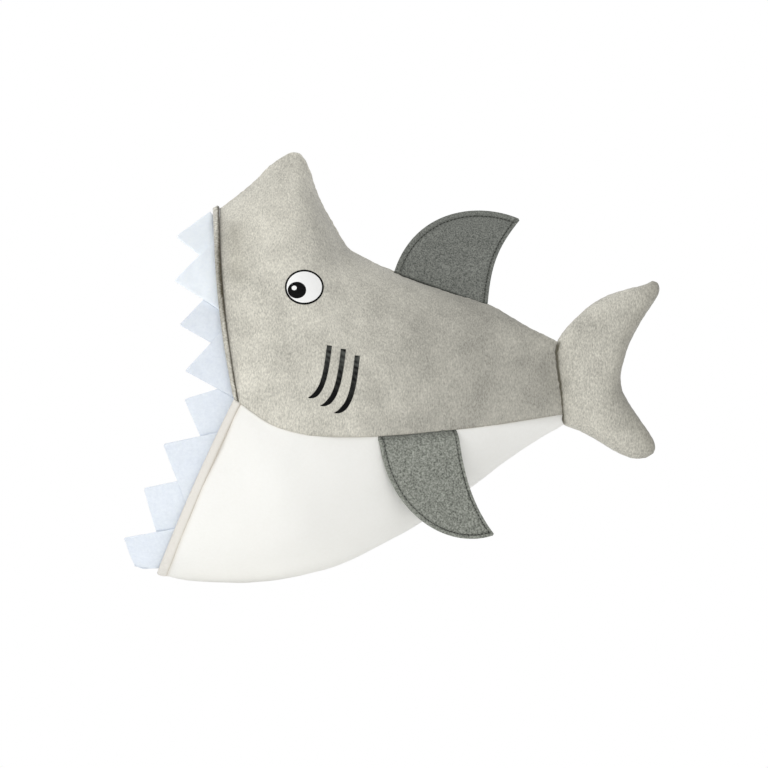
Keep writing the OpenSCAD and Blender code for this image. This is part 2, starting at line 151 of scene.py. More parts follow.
def graded(length: float, count: int, edge: float) -> np.ndarray:
    """Shares from 0 to 1 that lie close together at both ends.

    The first and last shares follow a quarter circle of radius edge, so that a rounded
    edge is smooth, and the rest are even.

    Args:
        length: length that the shares divide.
        count: number of even steps in the middle.
        edge: radius of the rounded edge.

    Returns:
        The shares, in rising order.
    """
    rim = edge / length * (1 - np.cos(np.linspace(0, math.pi / 2, 5)))
    middle = np.linspace(rim[-1], 1 - rim[-1], count + 1)[1:-1]
    return np.concatenate([rim, middle, 1 - rim[::-1]])


def run(grid: np.ndarray, axis: int) -> np.ndarray:
    """Length along a grid's lines from their start, for each point."""
    steps = np.linalg.norm(np.diff(grid, axis=axis), axis=2)
    start = np.zeros_like(np.take(grid[..., 0], [0], axis=axis))
    return np.concatenate([start, np.cumsum(steps, axis=axis)], axis=axis)


def grid_normal(grid: np.ndarray) -> np.ndarray:
    """Unit normals of a grid: the direction of its rows crossed with that of its columns."""
    return unit(np.cross(np.gradient(grid, axis=0), np.gradient(grid, axis=1)))


@dataclass
class Borders:
    """Distances from a grid's four borders, along its lines."""

    grid: np.ndarray

    def __post_init__(self) -> None:
        """Measures the grid once."""
        self.down = run(self.grid, 0)
        self.across = run(self.grid, 1)
        self.first_row = self.down
        self.last_row = self.down[-1:] - self.down
        self.first_column = self.across
        self.last_column = self.across[:, -1:] - self.across

    def nearest(self) -> np.ndarray:
        """Distance from the nearest border."""
        return np.minimum.reduce(
            [self.first_row, self.last_row, self.first_column, self.last_column]
        )


# ---------------------------------------------------------------- uneven cloth


@dataclass(frozen=True)
class Ripples:
    """Soft unevenness: a sum of sine waves that run in random directions."""

    seed: int
    wavelength: float
    height: float
    waves: int = 14

    def at(self, points: np.ndarray) -> np.ndarray:
        """Height of the unevenness at points in space.

        Args:
            points: the points, three numbers each.

        Returns:
            A height for each point, mostly within one and a half times self.height.
        """
        rng = np.random.default_rng(self.seed)
        directions = unit(rng.normal(size=(self.waves, 3)))
        numbers = 2 * math.pi / (self.wavelength * rng.uniform(0.7, 1.6, self.waves))
        phases = rng.uniform(0, 2 * math.pi, self.waves)
        waves = np.sin(points @ (directions * numbers[:, None]).T + phases)
        return self.height * waves.sum(axis=-1) * math.sqrt(2 / self.waves)


@dataclass(frozen=True)
class SeamPull:
    """Cloth drawn in along a seam, with small gathers that fade away from it."""

    depth: float
    reach: float
    gather: float = 0.0
    pitch: float = 7 * MM

    def at(self, distance: np.ndarray, along: np.ndarray) -> np.ndarray:
        """How far the cloth is drawn in.

        The depth and the gathers, a sine wave along the seam whose pitch wanders, fall
        off as e to the power of minus distance over reach.

        Args:
            distance: distance from the seam.
            along: length along the seam.

        Returns:
            A height for each point, below zero where it is drawn in.
        """
        turn = 2 * math.pi * along / self.pitch
        wave = np.sin(turn + 1.3 * np.sin(0.31 * turn + 0.7))
        return (self.gather * wave - self.depth) * np.exp(-distance / self.reach)


@dataclass(frozen=True)
class Fold:
    """Soft fold or dent along a line of the side view."""

    start: tuple[float, float]
    end: tuple[float, float]
    width: float
    height: float

    def at(self, points: np.ndarray) -> np.ndarray:
        """Height of the fold: a bell curve of the distance from its line.

        Args:
            points: the points, of which X and Z are used.

        Returns:
            A height for each point.
        """
        flat = points[..., [0, 2]]
        start, end = np.array(self.start), np.array(self.end)
        line = end - start
        share = np.clip((flat - start) @ line / (line @ line), 0, 1)
        gap = np.linalg.norm(flat - start - share[..., None] * line, axis=-1)
        return self.height * bell(gap, self.width)


# ---------------------------------------------------------------- meshes


@dataclass
class Skin:
    """A closed surface in the making.

    points are its vertices, faces their numbers four to a face with -1 last in a
    triangle, shade how far each vertex takes its finish's second colour,
    as painted shade in seams, creases and at edges and as wear on printed gills, and
    cloth its place on the cloth in metres.
    """

    points: np.ndarray
    faces: np.ndarray
    shade: np.ndarray
    cloth: np.ndarray

    def flipped(self) -> "Skin":
        """The same surface, turned inside out."""
        triangle = self.faces[:, 3:] < 0
        turned = np.where(triangle, self.faces[:, [0, 2, 1, 3]], self.faces[:, [0, 3, 2, 1]])
        return Skin(self.points, turned, self.shade, self.cloth)

    def volume(self) -> float:
        """Volume inside the surface, below zero if it is inside out."""
        last = np.where(self.faces[:, 3] < 0, self.faces[:, 2], self.faces[:, 3])
        a, b, c = (self.points[self.faces[:, k]] for k in range(3))
        return float((a * (np.cross(b, c) + np.cross(c, self.points[last]))).sum() / 6)

    def on(self, side: Side) -> "Skin":
        """The surface on a side of the shark, made for the right one."""
        if side is Side.RIGHT:
            return self
        return Skin(self.points * [1, -1, 1], self.faces, self.shade, self.cloth)

    def joined(self, other: "Skin") -> "Skin":
        """This surface and another one, as two shells of one mesh."""
        more = np.where(other.faces < 0, -1, other.faces + len(self.points))
        return Skin(
            np.concatenate([self.points, other.points]),
            np.concatenate([self.faces, more]),
            np.concatenate([self.shade, other.shade]),
            np.concatenate([self.cloth, other.cloth]),
        )

    def piece(self, name: str, material: bpy.types.Material) -> bpy.types.Object:
        """Puts the surface into a mesh object, faces outwards.

        Args:
            name: the object's name.
            material: its finish.

        Returns:
            The object, linked to the scene.
        """
        skin = self if self.volume() > 0 else self.flipped()
        used = skin.faces >= 0
        corners = skin.faces[used]
        sizes = used.sum(axis=1)
        mesh = bpy.data.meshes.new(name)
        mesh.vertices.add(len(skin.points))
        mesh.vertices.foreach_set("co", skin.points.astype(np.float32).ravel())
        mesh.loops.add(len(corners))
        mesh.loops.foreach_set("vertex_index", corners.astype(np.int32))
        mesh.polygons.add(len(sizes))
        mesh.polygons.foreach_set("loop_start", (np.cumsum(sizes) - sizes).astype(np.int32))
        mesh.polygons.foreach_set("use_smooth", np.ones(len(sizes), bool))
        mesh.update(calc_edges=True)
        layer = mesh.uv_layers.new(name="cloth")
        layer.data.foreach_set("uv", skin.cloth[corners].astype(np.float32).ravel())
        shade = mesh.attributes.new("shade", "FLOAT", "POINT")
        shade.data.foreach_set("value", skin.shade.astype(np.float32))
        mesh.materials.append(material)
        return linked(name, mesh)


def linked(name: str, data: bpy.types.ID) -> bpy.types.Object:
    """New object of the scene that shows a mesh, a lamp or a camera."""
    made = bpy.data.objects.new(name, data)
    bpy.context.scene.collection.objects.link(made)
    return made


def quads(index: np.ndarray) -> np.ndarray:
    """Faces between the neighbours of a grid of vertex numbers."""
    corners = [index[:-1, :-1], index[1:, :-1], index[1:, 1:], index[:-1, 1:]]
    return np.stack(corners, axis=-1).reshape(-1, 4)


def leaf(middle: np.ndarray, normal: np.ndarray, half: np.ndarray, shade: np.ndarray) -> Skin:
    """Closed sheet of cloth round its middle surface.

    The front and back faces are the middle surface moved by plus and minus half the
    thickness along its normal, and they share the border, where the thickness is none.

    Args:
        middle: grid of points halfway through the sheet.
        normal: unit normal at each point.
        half: half the thickness at each point, zero on the border.
        shade: share of painted shade and print wear at each point.

    Returns:
        The sheet.
    """
    rows, columns = half.shape
    inner = np.zeros((rows, columns), bool)
    inner[1:-1, 1:-1] = True
    front = np.arange(rows * columns).reshape(rows, columns)
    back = front.copy()
    back[inner] = rows * columns + np.arange(inner.sum())
    offset = normal * half[..., None]
    cloth = np.stack([run(middle, 0), run(middle, 1)], axis=-1)
    return Skin(
        np.concatenate([(middle + offset).reshape(-1, 3), (middle - offset)[inner]]),
        np.concatenate([quads(front), quads(back)[:, ::-1]]),
        np.concatenate([shade.ravel(), shade[inner]]),
        np.concatenate([cloth.reshape(-1, 2), cloth[inner]]),
    )


def rounded(thickness: np.ndarray, distance: np.ndarray, edge: float) -> np.ndarray:
    """Half the thickness of a sheet whose border is a quarter ellipse of width edge."""
    return thickness / 2 * np.sqrt(1 - (1 - np.clip(distance / edge, 0, 1)) ** 2)


def sunk(thickness: np.ndarray, distance: np.ndarray) -> np.ndarray:
    """Depth of a sheet's middle below its face.

    It is half the thickness, but only a share of that at the border, by a bell curve of
    the distance, so that the border lies just under the face.

    Args:
        thickness: the sheet's thickness at each point.
        distance: distance from the border.

    Returns:
        The depths.
    """
    share_at_border = 0.4
    return thickness / 2 * (1 - (1 - share_at_border) * bell(distance, 1.3 * MM))


def loft(rings: np.ndarray, shade: float = 0.0) -> Skin:
    """Closed surface through closed rings, with a pole at the middle of each end ring.

    Args:
        rings: one row of points for each ring.
        shade: share of painted shade all over.

    Returns:
        The surface.
    """
    count, size = rings.shape[:2]
    index = np.arange(count * size).reshape(count, size)
    index = np.concatenate([index, index[:, :1]], axis=1)
    poles = [count * size, count * size + 1]
    caps = [
        np.stack([ring[:-1], ring[1:], np.full(size, pole), np.full(size, -1)], axis=-1)
        for ring, pole in ((index[0][::-1], poles[0]), (index[-1], poles[1]))
    ]
    ends = np.stack([rings[0].mean(axis=0), rings[-1].mean(axis=0)])
    cloth = np.stack([run(rings, 0), run(rings, 1)], axis=-1).reshape(-1, 2)
    return Skin(
        np.concatenate([rings.reshape(-1, 3), ends]),
        np.concatenate([quads(index)[:, ::-1], *caps]),
        np.full(count * size + 2, shade),
        np.concatenate([cloth, [[0, 0], cloth[-1]]]),
    )


# ---------------------------------------------------------------- shader nodes


def dyed(red: int, green: int, blue: int) -> tuple[float, float, float, float]:
    """Linear colour of a display colour given from 0 to 255."""
    shares = [c / 255 for c in (red, green, blue)]
    linear = [s / 12.92 if s <= 0.04045 else ((s + 0.055) / 1.055) ** 2.4 for s in shares]
    return (*linear, 1.0)


def scaled(colour: tuple[float, ...], factor: float) -> tuple[float, ...]:
    """A linear colour made lighter or darker."""
    return tuple(min(c * factor, 1.0) for c in colour[:3]) + (1.0,)


def fill(node: bpy.types.Node, inputs: dict) -> None:
    """Gives a node's inputs, by name or number, their values or the sockets they follow."""
    for key, value in inputs.items():
        if isinstance(value, bpy.types.NodeSocket):
            node.id_data.links.new(value, node.inputs[key])
        else:
            node.inputs[key].default_value = value


def place(
    tree: bpy.types.NodeTree, kind: str, inputs: dict | None = None, **settings: object
) -> bpy.types.Node:
    """Adds a node to a tree.

    Args:
        tree: the node tree.
        kind: the node's type.
        inputs: values or sockets for its inputs, by name or number.
        settings: values for its own properties.

    Returns:
        The node.
    """
    node = tree.nodes.new(kind)
    for key, value in settings.items():
        setattr(node, key, value)
    fill(node, inputs or {})
    return node


def blended(
    tree: bpy.types.NodeTree, factor: object, first: object, second: object
) -> bpy.types.NodeSocket:
    """Output of a colour mix of two colours or sockets."""
    inputs = {"Factor": factor, 6: first, 7: second}
    return place(tree, "ShaderNodeMix", inputs, data_type="RGBA").outputs[2]


def worked(
    tree: bpy.types.NodeTree, operation: str, first: object, second: object = 0.0
) -> bpy.types.NodeSocket:
    """Output of one arithmetic step."""
    return place(tree, "ShaderNodeMath", {0: first, 1: second}, operation=operation).outputs[0]


def new_group(
    name: str, inputs: dict[str, tuple], outputs: dict[str, str]
) -> tuple[bpy.types.NodeTree, dict, bpy.types.Node]:
    """Makes an empty node group with named sockets.

    Args:
        name: the group's name.
        inputs: socket kind and default value by input name.
        outputs: socket kind by output name.

    Returns:
        The group, its input sockets by name and its output node.
    """
    tree = bpy.data.node_groups.new(name, "ShaderNodeTree")
    for label, (kind, value) in inputs.items():
        socket = tree.interface.new_socket(label, in_out="INPUT", socket_type=kind)
        if value is not None:
            socket.default_value = value
    for label, kind in outputs.items():
        tree.interface.new_socket(label, in_out="OUTPUT", socket_type=kind)
    given = tree.nodes.new("NodeGroupInput").outputs
    return tree, {label: given[label] for label in inputs}, tree.nodes.new("NodeGroupOutput")


class ShaderGroups:
    """The effects that several finishes share, each a node group built once."""

    @cached_property
    def fibre(self) -> bpy.types.NodeTree:
        """Mottled short fibres: streaky fine noise over soft patches.

        Returns:
            The group, whose Colour runs from Dark to Pale and whose Height is the pile.
        """
        tree, given, made = new_group(
            "fibre",
            {
                "Pale": ("NodeSocketColor", None),
                "Dark": ("NodeSocketColor", None),
                "Scale": ("NodeSocketFloat", 900.0),
                "Streak": ("NodeSocketVector", (1.0, 1.0, 1.0)),
                "Contrast": ("NodeSocketFloat", 1.0),
                "Patches": ("NodeSocketFloat", 0.3),
            },
            {"Colour": "NodeSocketColor", "Height": "NodeSocketFloat"},
        )
        where = tree.nodes.new("ShaderNodeTexCoord").outputs["Object"]
        drawn = place(
            tree, "ShaderNodeVectorMath", {0: where, 1: given["Streak"]}, operation="MULTIPLY"
        ).outputs[0]
        hairs = place(
            tree,
            "ShaderNodeTexNoise",
            {"Vector": drawn, "Scale": given["Scale"], "Detail": 4.0, "Roughness": 0.62},
        ).outputs["Fac"]
        coarse = worked(tree, "MULTIPLY", given["Scale"], 0.055)
        patches = place(
            tree,
            "ShaderNodeTexNoise",
            {"Vector": where, "Scale": coarse, "Detail": 3.0, "Roughness": 0.55},
        ).outputs["Fac"]
        fine, broad = (
            worked(tree, "MULTIPLY", worked(tree, "SUBTRACT", noise, 0.5), given[strength])
            for noise, strength in ((hairs, "Contrast"), (patches, "Patches"))
        )
        level = worked(tree, "ADD", worked(tree, "ADD", fine, broad), 0.5)
        level = place(tree, "ShaderNodeClamp", {"Value": level}).outputs[0]
        colour = blended(tree, level, given["Dark"], given["Pale"])
        fill(made, {"Colour": colour, "Height": hairs})
        return tree

    @cached_property
    def seam_shade(self) -> bpy.types.NodeTree:
        """Painted shade in seams, creases and at edges, and wear on prints, mixed in by an
        attribute.

        Returns:
            The group, whose Colour is the given one mixed towards the given Shade And Wear colour
            by the shade attribute.
        """
        tree, given, made = new_group(
            "seam shade",
            {
                "Colour": ("NodeSocketColor", None),
                "Shade": ("NodeSocketColor", None),
                "Amount": ("NodeSocketFloat", 1.0),
            },
            {"Colour": "NodeSocketColor"},
        )
        depth = place(tree, "ShaderNodeAttribute", attribute_name="shade").outputs["Fac"]
        factor = worked(tree, "MULTIPLY", depth, given["Amount"])
        factor = place(tree, "ShaderNodeClamp", {"Value": factor}).outputs[0]
        fill(made, {"Colour": blended(tree, factor, given["Colour"], given["Shade"])})
        return tree

    @cached_property
    def knit(self) -> bpy.types.NodeTree:
        """Fine knitted or woven loops that follow the cloth.

        The height is the product of two sine waves across the cloth's own coordinates,
        one along each thread.

        Returns:
            The group, whose Height runs from 0 to 1.
        """
        tree, given, made = new_group(
            "knit", {"Pitch": ("NodeSocketFloat", 0.7 * MM)}, {"Height": "NodeSocketFloat"}
        )
        cloth = place(tree, "ShaderNodeUVMap", uv_map="cloth").outputs[0]
        parts = place(tree, "ShaderNodeSeparateXYZ", {0: cloth}).outputs
        number = worked(tree, "DIVIDE", 2 * math.pi, given["Pitch"])
        waves = [worked(tree, "SINE", worked(tree, "MULTIPLY", parts[k], number)) for k in (0, 1)]
        height = worked(tree, "MULTIPLY_ADD", worked(tree, "MULTIPLY", *waves), 0.5)
        fill(height.node, {2: 0.5})
        fill(made, {"Height": height})
        return tree


# ---------------------------------------------------------------- finishes


@dataclass(frozen=True)
class Finish:
    """A cloth's colours, pile and sheen, with the name of a slot of the record."""

    name: str
    slot: str
    pale: tuple[float, ...]
    dark: tuple[float, ...]
    # Colour of painted shade in seams, creases and at edges, and of wear on a print
    shade: tuple[float, ...]
    scale: float = 900.0
    streak: tuple[float, float, float] = (1.0, 1.0, 1.0)
    contrast: float = 1.0
    patches: float = 0.3
    pile: float = 0.3 * MM
    bump: float = 0.5
    roughness: float = 0.9
    sheen: float = 0.15
    knit_pitch: float = 0.0
    # Painted shade that darkens the cloth towards the tail, for its brushed nap and the light
    # falling away there: the share of darkening at the far end, and where it starts and
    # ends behind the mouth
    tailward_shade: float = 0.0
    nap_from: float = 60 * MM
    nap_to: float = 180 * MM
    glow: float = 0.0
    shine: float = 0.2

    def material(self, groups: ShaderGroups) -> bpy.types.Material:
        """Builds the finish's material.

        Args:
            groups: the shared node groups.

        Returns:
            The material.
        """
        material = bpy.data.materials.new(self.name)
        material.use_nodes = True
        tree = material.node_tree
        shader = tree.nodes["Principled BSDF"]
        looks = {
            "Roughness": self.roughness,
            "Specular IOR Level": self.shine,
            "Sheen Weight": self.sheen,
            "Sheen Roughness": 0.45,
        }
        if self.glow:
            looks["Subsurface Weight"] = self.glow
            looks["Subsurface Radius"] = (0.004, 0.004, 0.005)
            looks["Subsurface Scale"] = 1.0
        mottle = {
            "Pale": self.pale,
            "Dark": self.dark,
            "Scale": self.scale,
            "Streak": self.streak,
            "Contrast": self.contrast,
            "Patches": self.patches,
        }
        fibre = place(tree, "ShaderNodeGroup", mottle, node_tree=groups.fibre)
        colour, height = fibre.outputs["Colour"], fibre.outputs["Height"]
        if self.tailward_shade:
            colour = self._brushed(tree, colour)
        if self.knit_pitch:
            pitch = {"Pitch": self.knit_pitch}
            knit = place(tree, "ShaderNodeGroup", pitch, node_tree=groups.knit)
            height = worked(tree, "ADD", worked(tree, "MULTIPLY", height, 0.5), knit.outputs[0])
        seam = place(
            tree,
            "ShaderNodeGroup",
            {"Colour": colour, "Shade": self.shade, "Amount": 1.0},
            node_tree=groups.seam_shade,
        )
        bump = place(
            tree,
            "ShaderNodeBump",
            {"Height": height, "Strength": self.bump, "Distance": self.pile},
        )
        looks["Base Color"] = seam.outputs["Colour"]
        looks["Normal"] = bump.outputs["Normal"]
        fill(shader, looks)
        return material

    def _brushed(
        self, tree: bpy.types.NodeTree, colour: bpy.types.NodeSocket
    ) -> bpy.types.NodeSocket:
        """Darkens a colour from the head to the tail with painted shade, for the brushed nap and
        the light falling away.

        Args:
            tree: the material's nodes.
            colour: the colour socket before.

        Returns:
            The colour socket after.
        """
        where = tree.nodes.new("ShaderNodeTexCoord").outputs["Object"]
        along = place(tree, "ShaderNodeSeparateXYZ", {0: where}).outputs["X"]
        run_of_tailward_shade = {
            "Value": along,
            "From Min": self.nap_from,
            "From Max": self.nap_to,
            "To Min": 0.0,
            "To Max": self.tailward_shade,
        }
        share = place(
            tree, "ShaderNodeMapRange", run_of_tailward_shade, interpolation_type="SMOOTHSTEP"
        ).outputs[0]
        return blended(tree, share, colour, (0.0, 0.0, 0.0, 1.0))


class Wardrobe:
    """Every finish of the hat, made once."""

    def __init__(self) -> None:
        """Names the finishes and builds their materials."""
        grey = dyed(216, 213, 201)
        # Grey velour, whose colour painted shade darkens towards the tail
        velour = Finish(
            "grey_velour", "grey_velour", scaled(grey, 1.2), scaled(grey, 0.54),
            dyed(112, 106, 84), scale=760.0, streak=(1.4, 1.0, 0.65), contrast=2.0,
            patches=0.95, pile=0.5 * MM, bump=0.5, sheen=0.45, tailward_shade=0.3,
        )
        felt = Finish(
            "dark_grey_felt", "dark_grey_felt", dyed(140, 142, 136), dyed(70, 73, 69),
            dyed(48, 50, 46), scale=1000.0, contrast=2.6, patches=0.25, pile=0.35 * MM,
            bump=0.6, sheen=0.08,
        )
        tooth = Finish(
            "pale_blue_felt", "pale_blue_felt", dyed(244, 250, 255), dyed(232, 240, 249),
            dyed(206, 216, 228), scale=420.0, contrast=1.3, patches=0.9,
            pile=0.25 * MM, bump=0.25, sheen=0.05, glow=0.15,
        )
        finishes = [
            velour,
            # Darker copy of the velour for the tail: painted shade, without the tailward shade
            replace(
                velour, name="tail_velour", pale=scaled(grey, 1.06), dark=scaled(grey, 0.48),
                tailward_shade=0.0, patches=0.9, contrast=2.3, shade=dyed(84, 80, 64),
            ),
            # The hem's velour, with a darker colour for the painted shadow in its crease
            replace(
                velour, name="hem_velour", pale=scaled(grey, 1.2), dark=scaled(grey, 0.56),
                shade=dyed(66, 60, 42), tailward_shade=0.0,
            ),
            Finish(
                "white_jersey", "white_jersey", dyed(243, 243, 240), dyed(236, 235, 230),
                dyed(222, 216, 205), scale=500.0, contrast=0.8, patches=0.5,
                pile=0.15 * MM, bump=0.2, sheen=0.05, knit_pitch=0.9 * MM,
            ),
            Finish(
                "binding_jersey", "white_jersey", dyed(229, 226, 220), dyed(219, 215, 207),
                dyed(194, 186, 172), scale=500.0, contrast=0.8, patches=0.5,
                pile=0.15 * MM, bump=0.25, sheen=0.05, knit_pitch=0.9 * MM,
            ),
            Finish(
                "lining_cloth", "lining_cloth", dyed(232, 231, 226), dyed(214, 212, 206),
                dyed(180, 176, 168), scale=700.0, contrast=0.9, pile=0.2 * MM, bump=0.3,
                sheen=0.05, knit_pitch=0.8 * MM,
            ),
            Finish(
                "fibre_filling", "fibre_filling", dyed(250, 250, 250), dyed(228, 228, 228),
                dyed(215, 215, 215), scale=350.0, streak=(1.0, 0.5, 1.4), contrast=1.4,
                pile=1.2 * MM, bump=0.8,
            ),
            tooth,
            replace(
                tooth, name="shaded_blue_felt", pale=dyed(231, 237, 244),
                dark=dyed(213, 220, 230),
            ),
            felt,
            # Lighter copy of the same felt for the pectoral fins: painted light
            replace(
                felt, name="lit_grey_felt", pale=dyed(172, 175, 166), dark=dyed(88, 91, 84),
                scale=700.0, contrast=2.9, bump=0.8,
            ),
            Finish(
                "dark_thread", "dark_thread", dyed(58, 60, 54), dyed(26, 26, 24),
                dyed(20, 20, 20), scale=2600.0, streak=(1.0, 1.0, 0.4), contrast=1.3,
                pile=0.1 * MM, bump=0.5, sheen=0.0, roughness=0.7,
            ),
            Finish(
                "white_print", "white_print", dyed(252, 252, 251), dyed(246, 246, 244),
                dyed(235, 235, 232), scale=600.0, contrast=0.5, pile=0.1 * MM, bump=0.25,
                sheen=0.0, roughness=0.6, knit_pitch=0.9 * MM,
            ),
            Finish(
                "black_print", "black_print", dyed(26, 26, 26), dyed(4, 4, 4),
                dyed(96, 98, 94), scale=650.0, streak=(0.5, 1.0, 1.6), contrast=1.8,
                pile=0.15 * MM, bump=0.4, sheen=0.0, roughness=0.75, shine=0.08,
                knit_pitch=0.9 * MM,
            ),
        ]
        groups = ShaderGroups()
        self.finishes = {f.name: f for f in finishes}
        self.materials = {f.name: f.material(groups) for f in finishes}

    def dress(self, skin: Skin, node: str, finish: str, body: str = "") -> bpy.types.Object:
        """Makes the piece that stands for a CAD node, in its finish and on its body.

        Args:
            skin: the piece's surface.
            node: the CAD node it stands for.
            finish: the name of its finish.
            body: the body it rides on, or an empty name for none.

        Returns:
            The piece.
        """
        piece = skin.piece(f"plush_{node}", self.materials[finish])
        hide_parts(node)
        if body:
            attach(piece, body)
        LOG.info("%s: %d faces, %s", piece.name, len(skin.faces), finish)
        return piece


# ---------------------------------------------------------------- the lofted shell


@dataclass(frozen=True)
class ShellForm:
    """The hat's shell, lofted from stations 0 at the mouth rim to 11 at the tail seam.

    Each station has a point on the top line, one on the side seam, one on the bottom
    line and a half width, in millimetres.
    """

    top_line: tuple = (
        (-18, 139), (0, 150), (24, 171), (43, 182), (54, 170), (66, 140),
        (84, 110), (113, 95), (150, 81), (186, 69), (215, 54.5), (239, 41.5),
    )
    seam_line: tuple = (
        (-3, 0), (12, -11), (24, -19), (37, -24), (50, -27), (63, -28),
        (80, -28.5), (108, -28), (145, -25), (182, -21), (215, -16), (243, -11.5),
    )
    bottom_line: tuple = (
        (-60.5, -131), (-38, -135.5), (-12, -137.5), (12, -138), (34, -136), (56, -131),
        (82, -122.5), (112, -107.5), (150, -83), (186, -59), (215, -38), (245, -19),
    )
    half_width_line: tuple = (74, 78, 80, 81, 80, 78, 73, 63, 48, 32, 17, 2.5)
    # 1 makes a section a ridge at the top line, and 0.5 makes it half an ellipse
    ridge_line: tuple = (0.7, 0.8, 0.9, 1, 0.95, 0.8, 0.72, 0.68, 0.65, 0.62, 0.6, 0.55)
    bow_line: tuple = (4, 2, 0, 0, 0, 0, 0, 0, 0, 0, 0, 0)
    ceiling_line: tuple = (
        0.04, 0.12, 0.25, 0.32, 0.28, 0.16, 0.1, 0.12, 0.15, 0.15, 0.15, 0.15,
    )
    ridge_depth: float = 1.6
    narrowest: float = 0.4 * MM
    last: int = 11
    hem_share: float = 0.28
    pocket_depth: float = 7.2
    panel_thickness: float = 3 * MM
    # A panel's thickness at the tail as a share of the half width, its least one, and
    # the width of its rounded edge
    tail_share: float = 0.75
    thinnest: float = 0.8 * MM
    panel_edge: float = 1.1 * MM
    lining_thickness: float = 1.2 * MM

    def top(self, u: np.ndarray) -> np.ndarray:
        """Point of the top line in the side view."""
        return through(self.top_line, u) * MM

    def seam(self, u: np.ndarray) -> np.ndarray:
        """Point of the side seam in the side view."""
        return through(self.seam_line, u) * MM

    def bottom(self, u: np.ndarray) -> np.ndarray:
        """Point of the bottom line in the side view."""
        return through(self.bottom_line, u) * MM

    def half_width(self, u: np.ndarray, inset: float = 0.0) -> np.ndarray:
        """Half width of a layer that lies inset inside the shell."""
        return np.maximum(through(self.half_width_line, u) * MM - inset, self.narrowest)

    def upper(
        self,
        u: np.ndarray,
        t: np.ndarray,
        inset: float = 0.0,
        lowered: np.ndarray | float = 0.0,
        gap: float = 0.0,
    ) -> np.ndarray:
        """Points between the top line and the right side seam.

        Down the section the place moves evenly along a straight line of the side view,
        and the width grows as one minus the square of what is left, to the power that
        the ridge line gives.

        Args:
            u: stations.
            t: 0 on the top line to 1 on the seam.
            inset: depth of the layer inside the shell.
            lowered: share by which the section's top is lowered.
            gap: distance kept from the middle plane and from the seam.

        Returns:
            The points.
        """
        u, t, lowered = np.broadcast_arrays(
            np.asarray(u, float), np.asarray(t, float), np.asarray(lowered, float)
        )
        top, seam = self.top(u), self.seam(u)
        down = unit(seam - top) * inset * self.ridge_depth
        start = top + (seam - top) * lowered[..., None] + down
        across = np.clip(1 - (1 - t) ** 2, 0, 1) ** through(self.ridge_line, u)
        flat = start + (seam - start) * t[..., None]
        bow = through(self.bow_line, u) * MM * 4 * t * (1 - t)
        wide = gap + (self.half_width(u, inset) - gap) * across
        return np.stack([flat[..., 0] - bow, wide, flat[..., 1] + gap], axis=-1)

    def lower(
        self, u: np.ndarray, turn: np.ndarray, inset: float = 0.0, gap: float = 0.0
    ) -> np.ndarray:
        """Points of the belly, each section half an ellipse below the seam.

        Args:
            u: stations.
            turn: minus a quarter turn at the left seam to plus one at the right.
            inset: depth of the layer inside the shell.
            gap: distance kept from the seam.

        Returns:
            The points.
        """
        u, turn = np.broadcast_arrays(np.asarray(u, float), np.asarray(turn, float))
        bottom, seam = self.bottom(u), self.seam(u)
        end = bottom + unit(seam - bottom) * inset
        share = np.cos(turn)
        flat = seam + (end - seam) * share[..., None]
        bow = through(self.bow_line, u) * MM * 2 * share * (1 - share)
        wide = self.half_width(u, inset) * np.sin(turn)
        return np.stack([flat[..., 0] - bow, wide, flat[..., 1] - gap], axis=-1)

    def rings(
        self,
        u: np.ndarray,
        inset: float,
        parts: tuple[int, int],
        lowered: np.ndarray | float = 0.0,
    ) -> np.ndarray:
        """Closed rings round the inside of the shell.

        Args:
            u: stations, one for each ring.
            inset: depth of the rings inside the shell.
            parts: steps down a flank and steps across the belly.
            lowered: share by which each ring's top is lowered.

        Returns:
            The rings.
        """
        t = 1 - np.cos(np.linspace(0, math.pi / 2, parts[0] + 1))
        turn = np.linspace(math.pi / 2, -math.pi / 2, parts[1] + 1)[1:-1]
        right = self.upper(u[:, None], t[None, :], inset, lowered)
        below = self.lower(u[:, None], turn[None, :], inset)
        return np.concatenate([right, below, right[:, :0:-1] * [1, -1, 1]], axis=1)

    def panel(
        self,
        u: np.ndarray,
        base: np.ndarray,
        normal: np.ndarray,
        height: np.ndarray,
        shade: np.ndarray,
    ) -> Skin:
        """Foam backed panel, with the unevenness in its thickness.

        Its back so lies smooth on the lining, and where both sides meet at the tail it
        is no thicker than a share of the half width.

        Args:
            u: stations, one for each row.
            base: grid of points of the smooth shell.
            normal: unit normals outwards.
            height: unevenness of its face.
            shade: seam shade.

        Returns:
            The closed sheet.
        """
        thickness = np.minimum(self.panel_thickness, self.tail_share * self.half_width(u))
        thickness = np.maximum(thickness[:, None] + height, self.thinnest)
        near = Borders(base).nearest()
        middle = base + normal * (height - sunk(thickness, near))[..., None]
        return leaf(middle, normal, rounded(thickness, near, self.panel_edge), shade)

    def stations(self, first: float, last: float, shares: np.ndarray, low: bool) -> np.ndarray:
        """Stations at shares of the length from one station to another.

        Args:
            first: first station.
            last: last station.
            shares: shares of the length.
            low: measured halfway up the belly, else halfway up the flank.

        Returns:
            The stations.
        """
        u = np.linspace(first, last, 400)
        line = (self.seam(u) + (self.bottom(u) if low else self.top(u))) / 2
        length = np.concatenate([[0], np.cumsum(np.linalg.norm(np.diff(line, axis=0), axis=1))])
        return np.interp(shares * length[-1], length, u)

    def station_on(self, line: tuple, x: float) -> float:
        """Station at which a line is at a distance behind the mouth."""
        u = np.linspace(0, self.last, 1200)
        return float(np.interp(x, through(line, u)[:, 0] * MM, u))

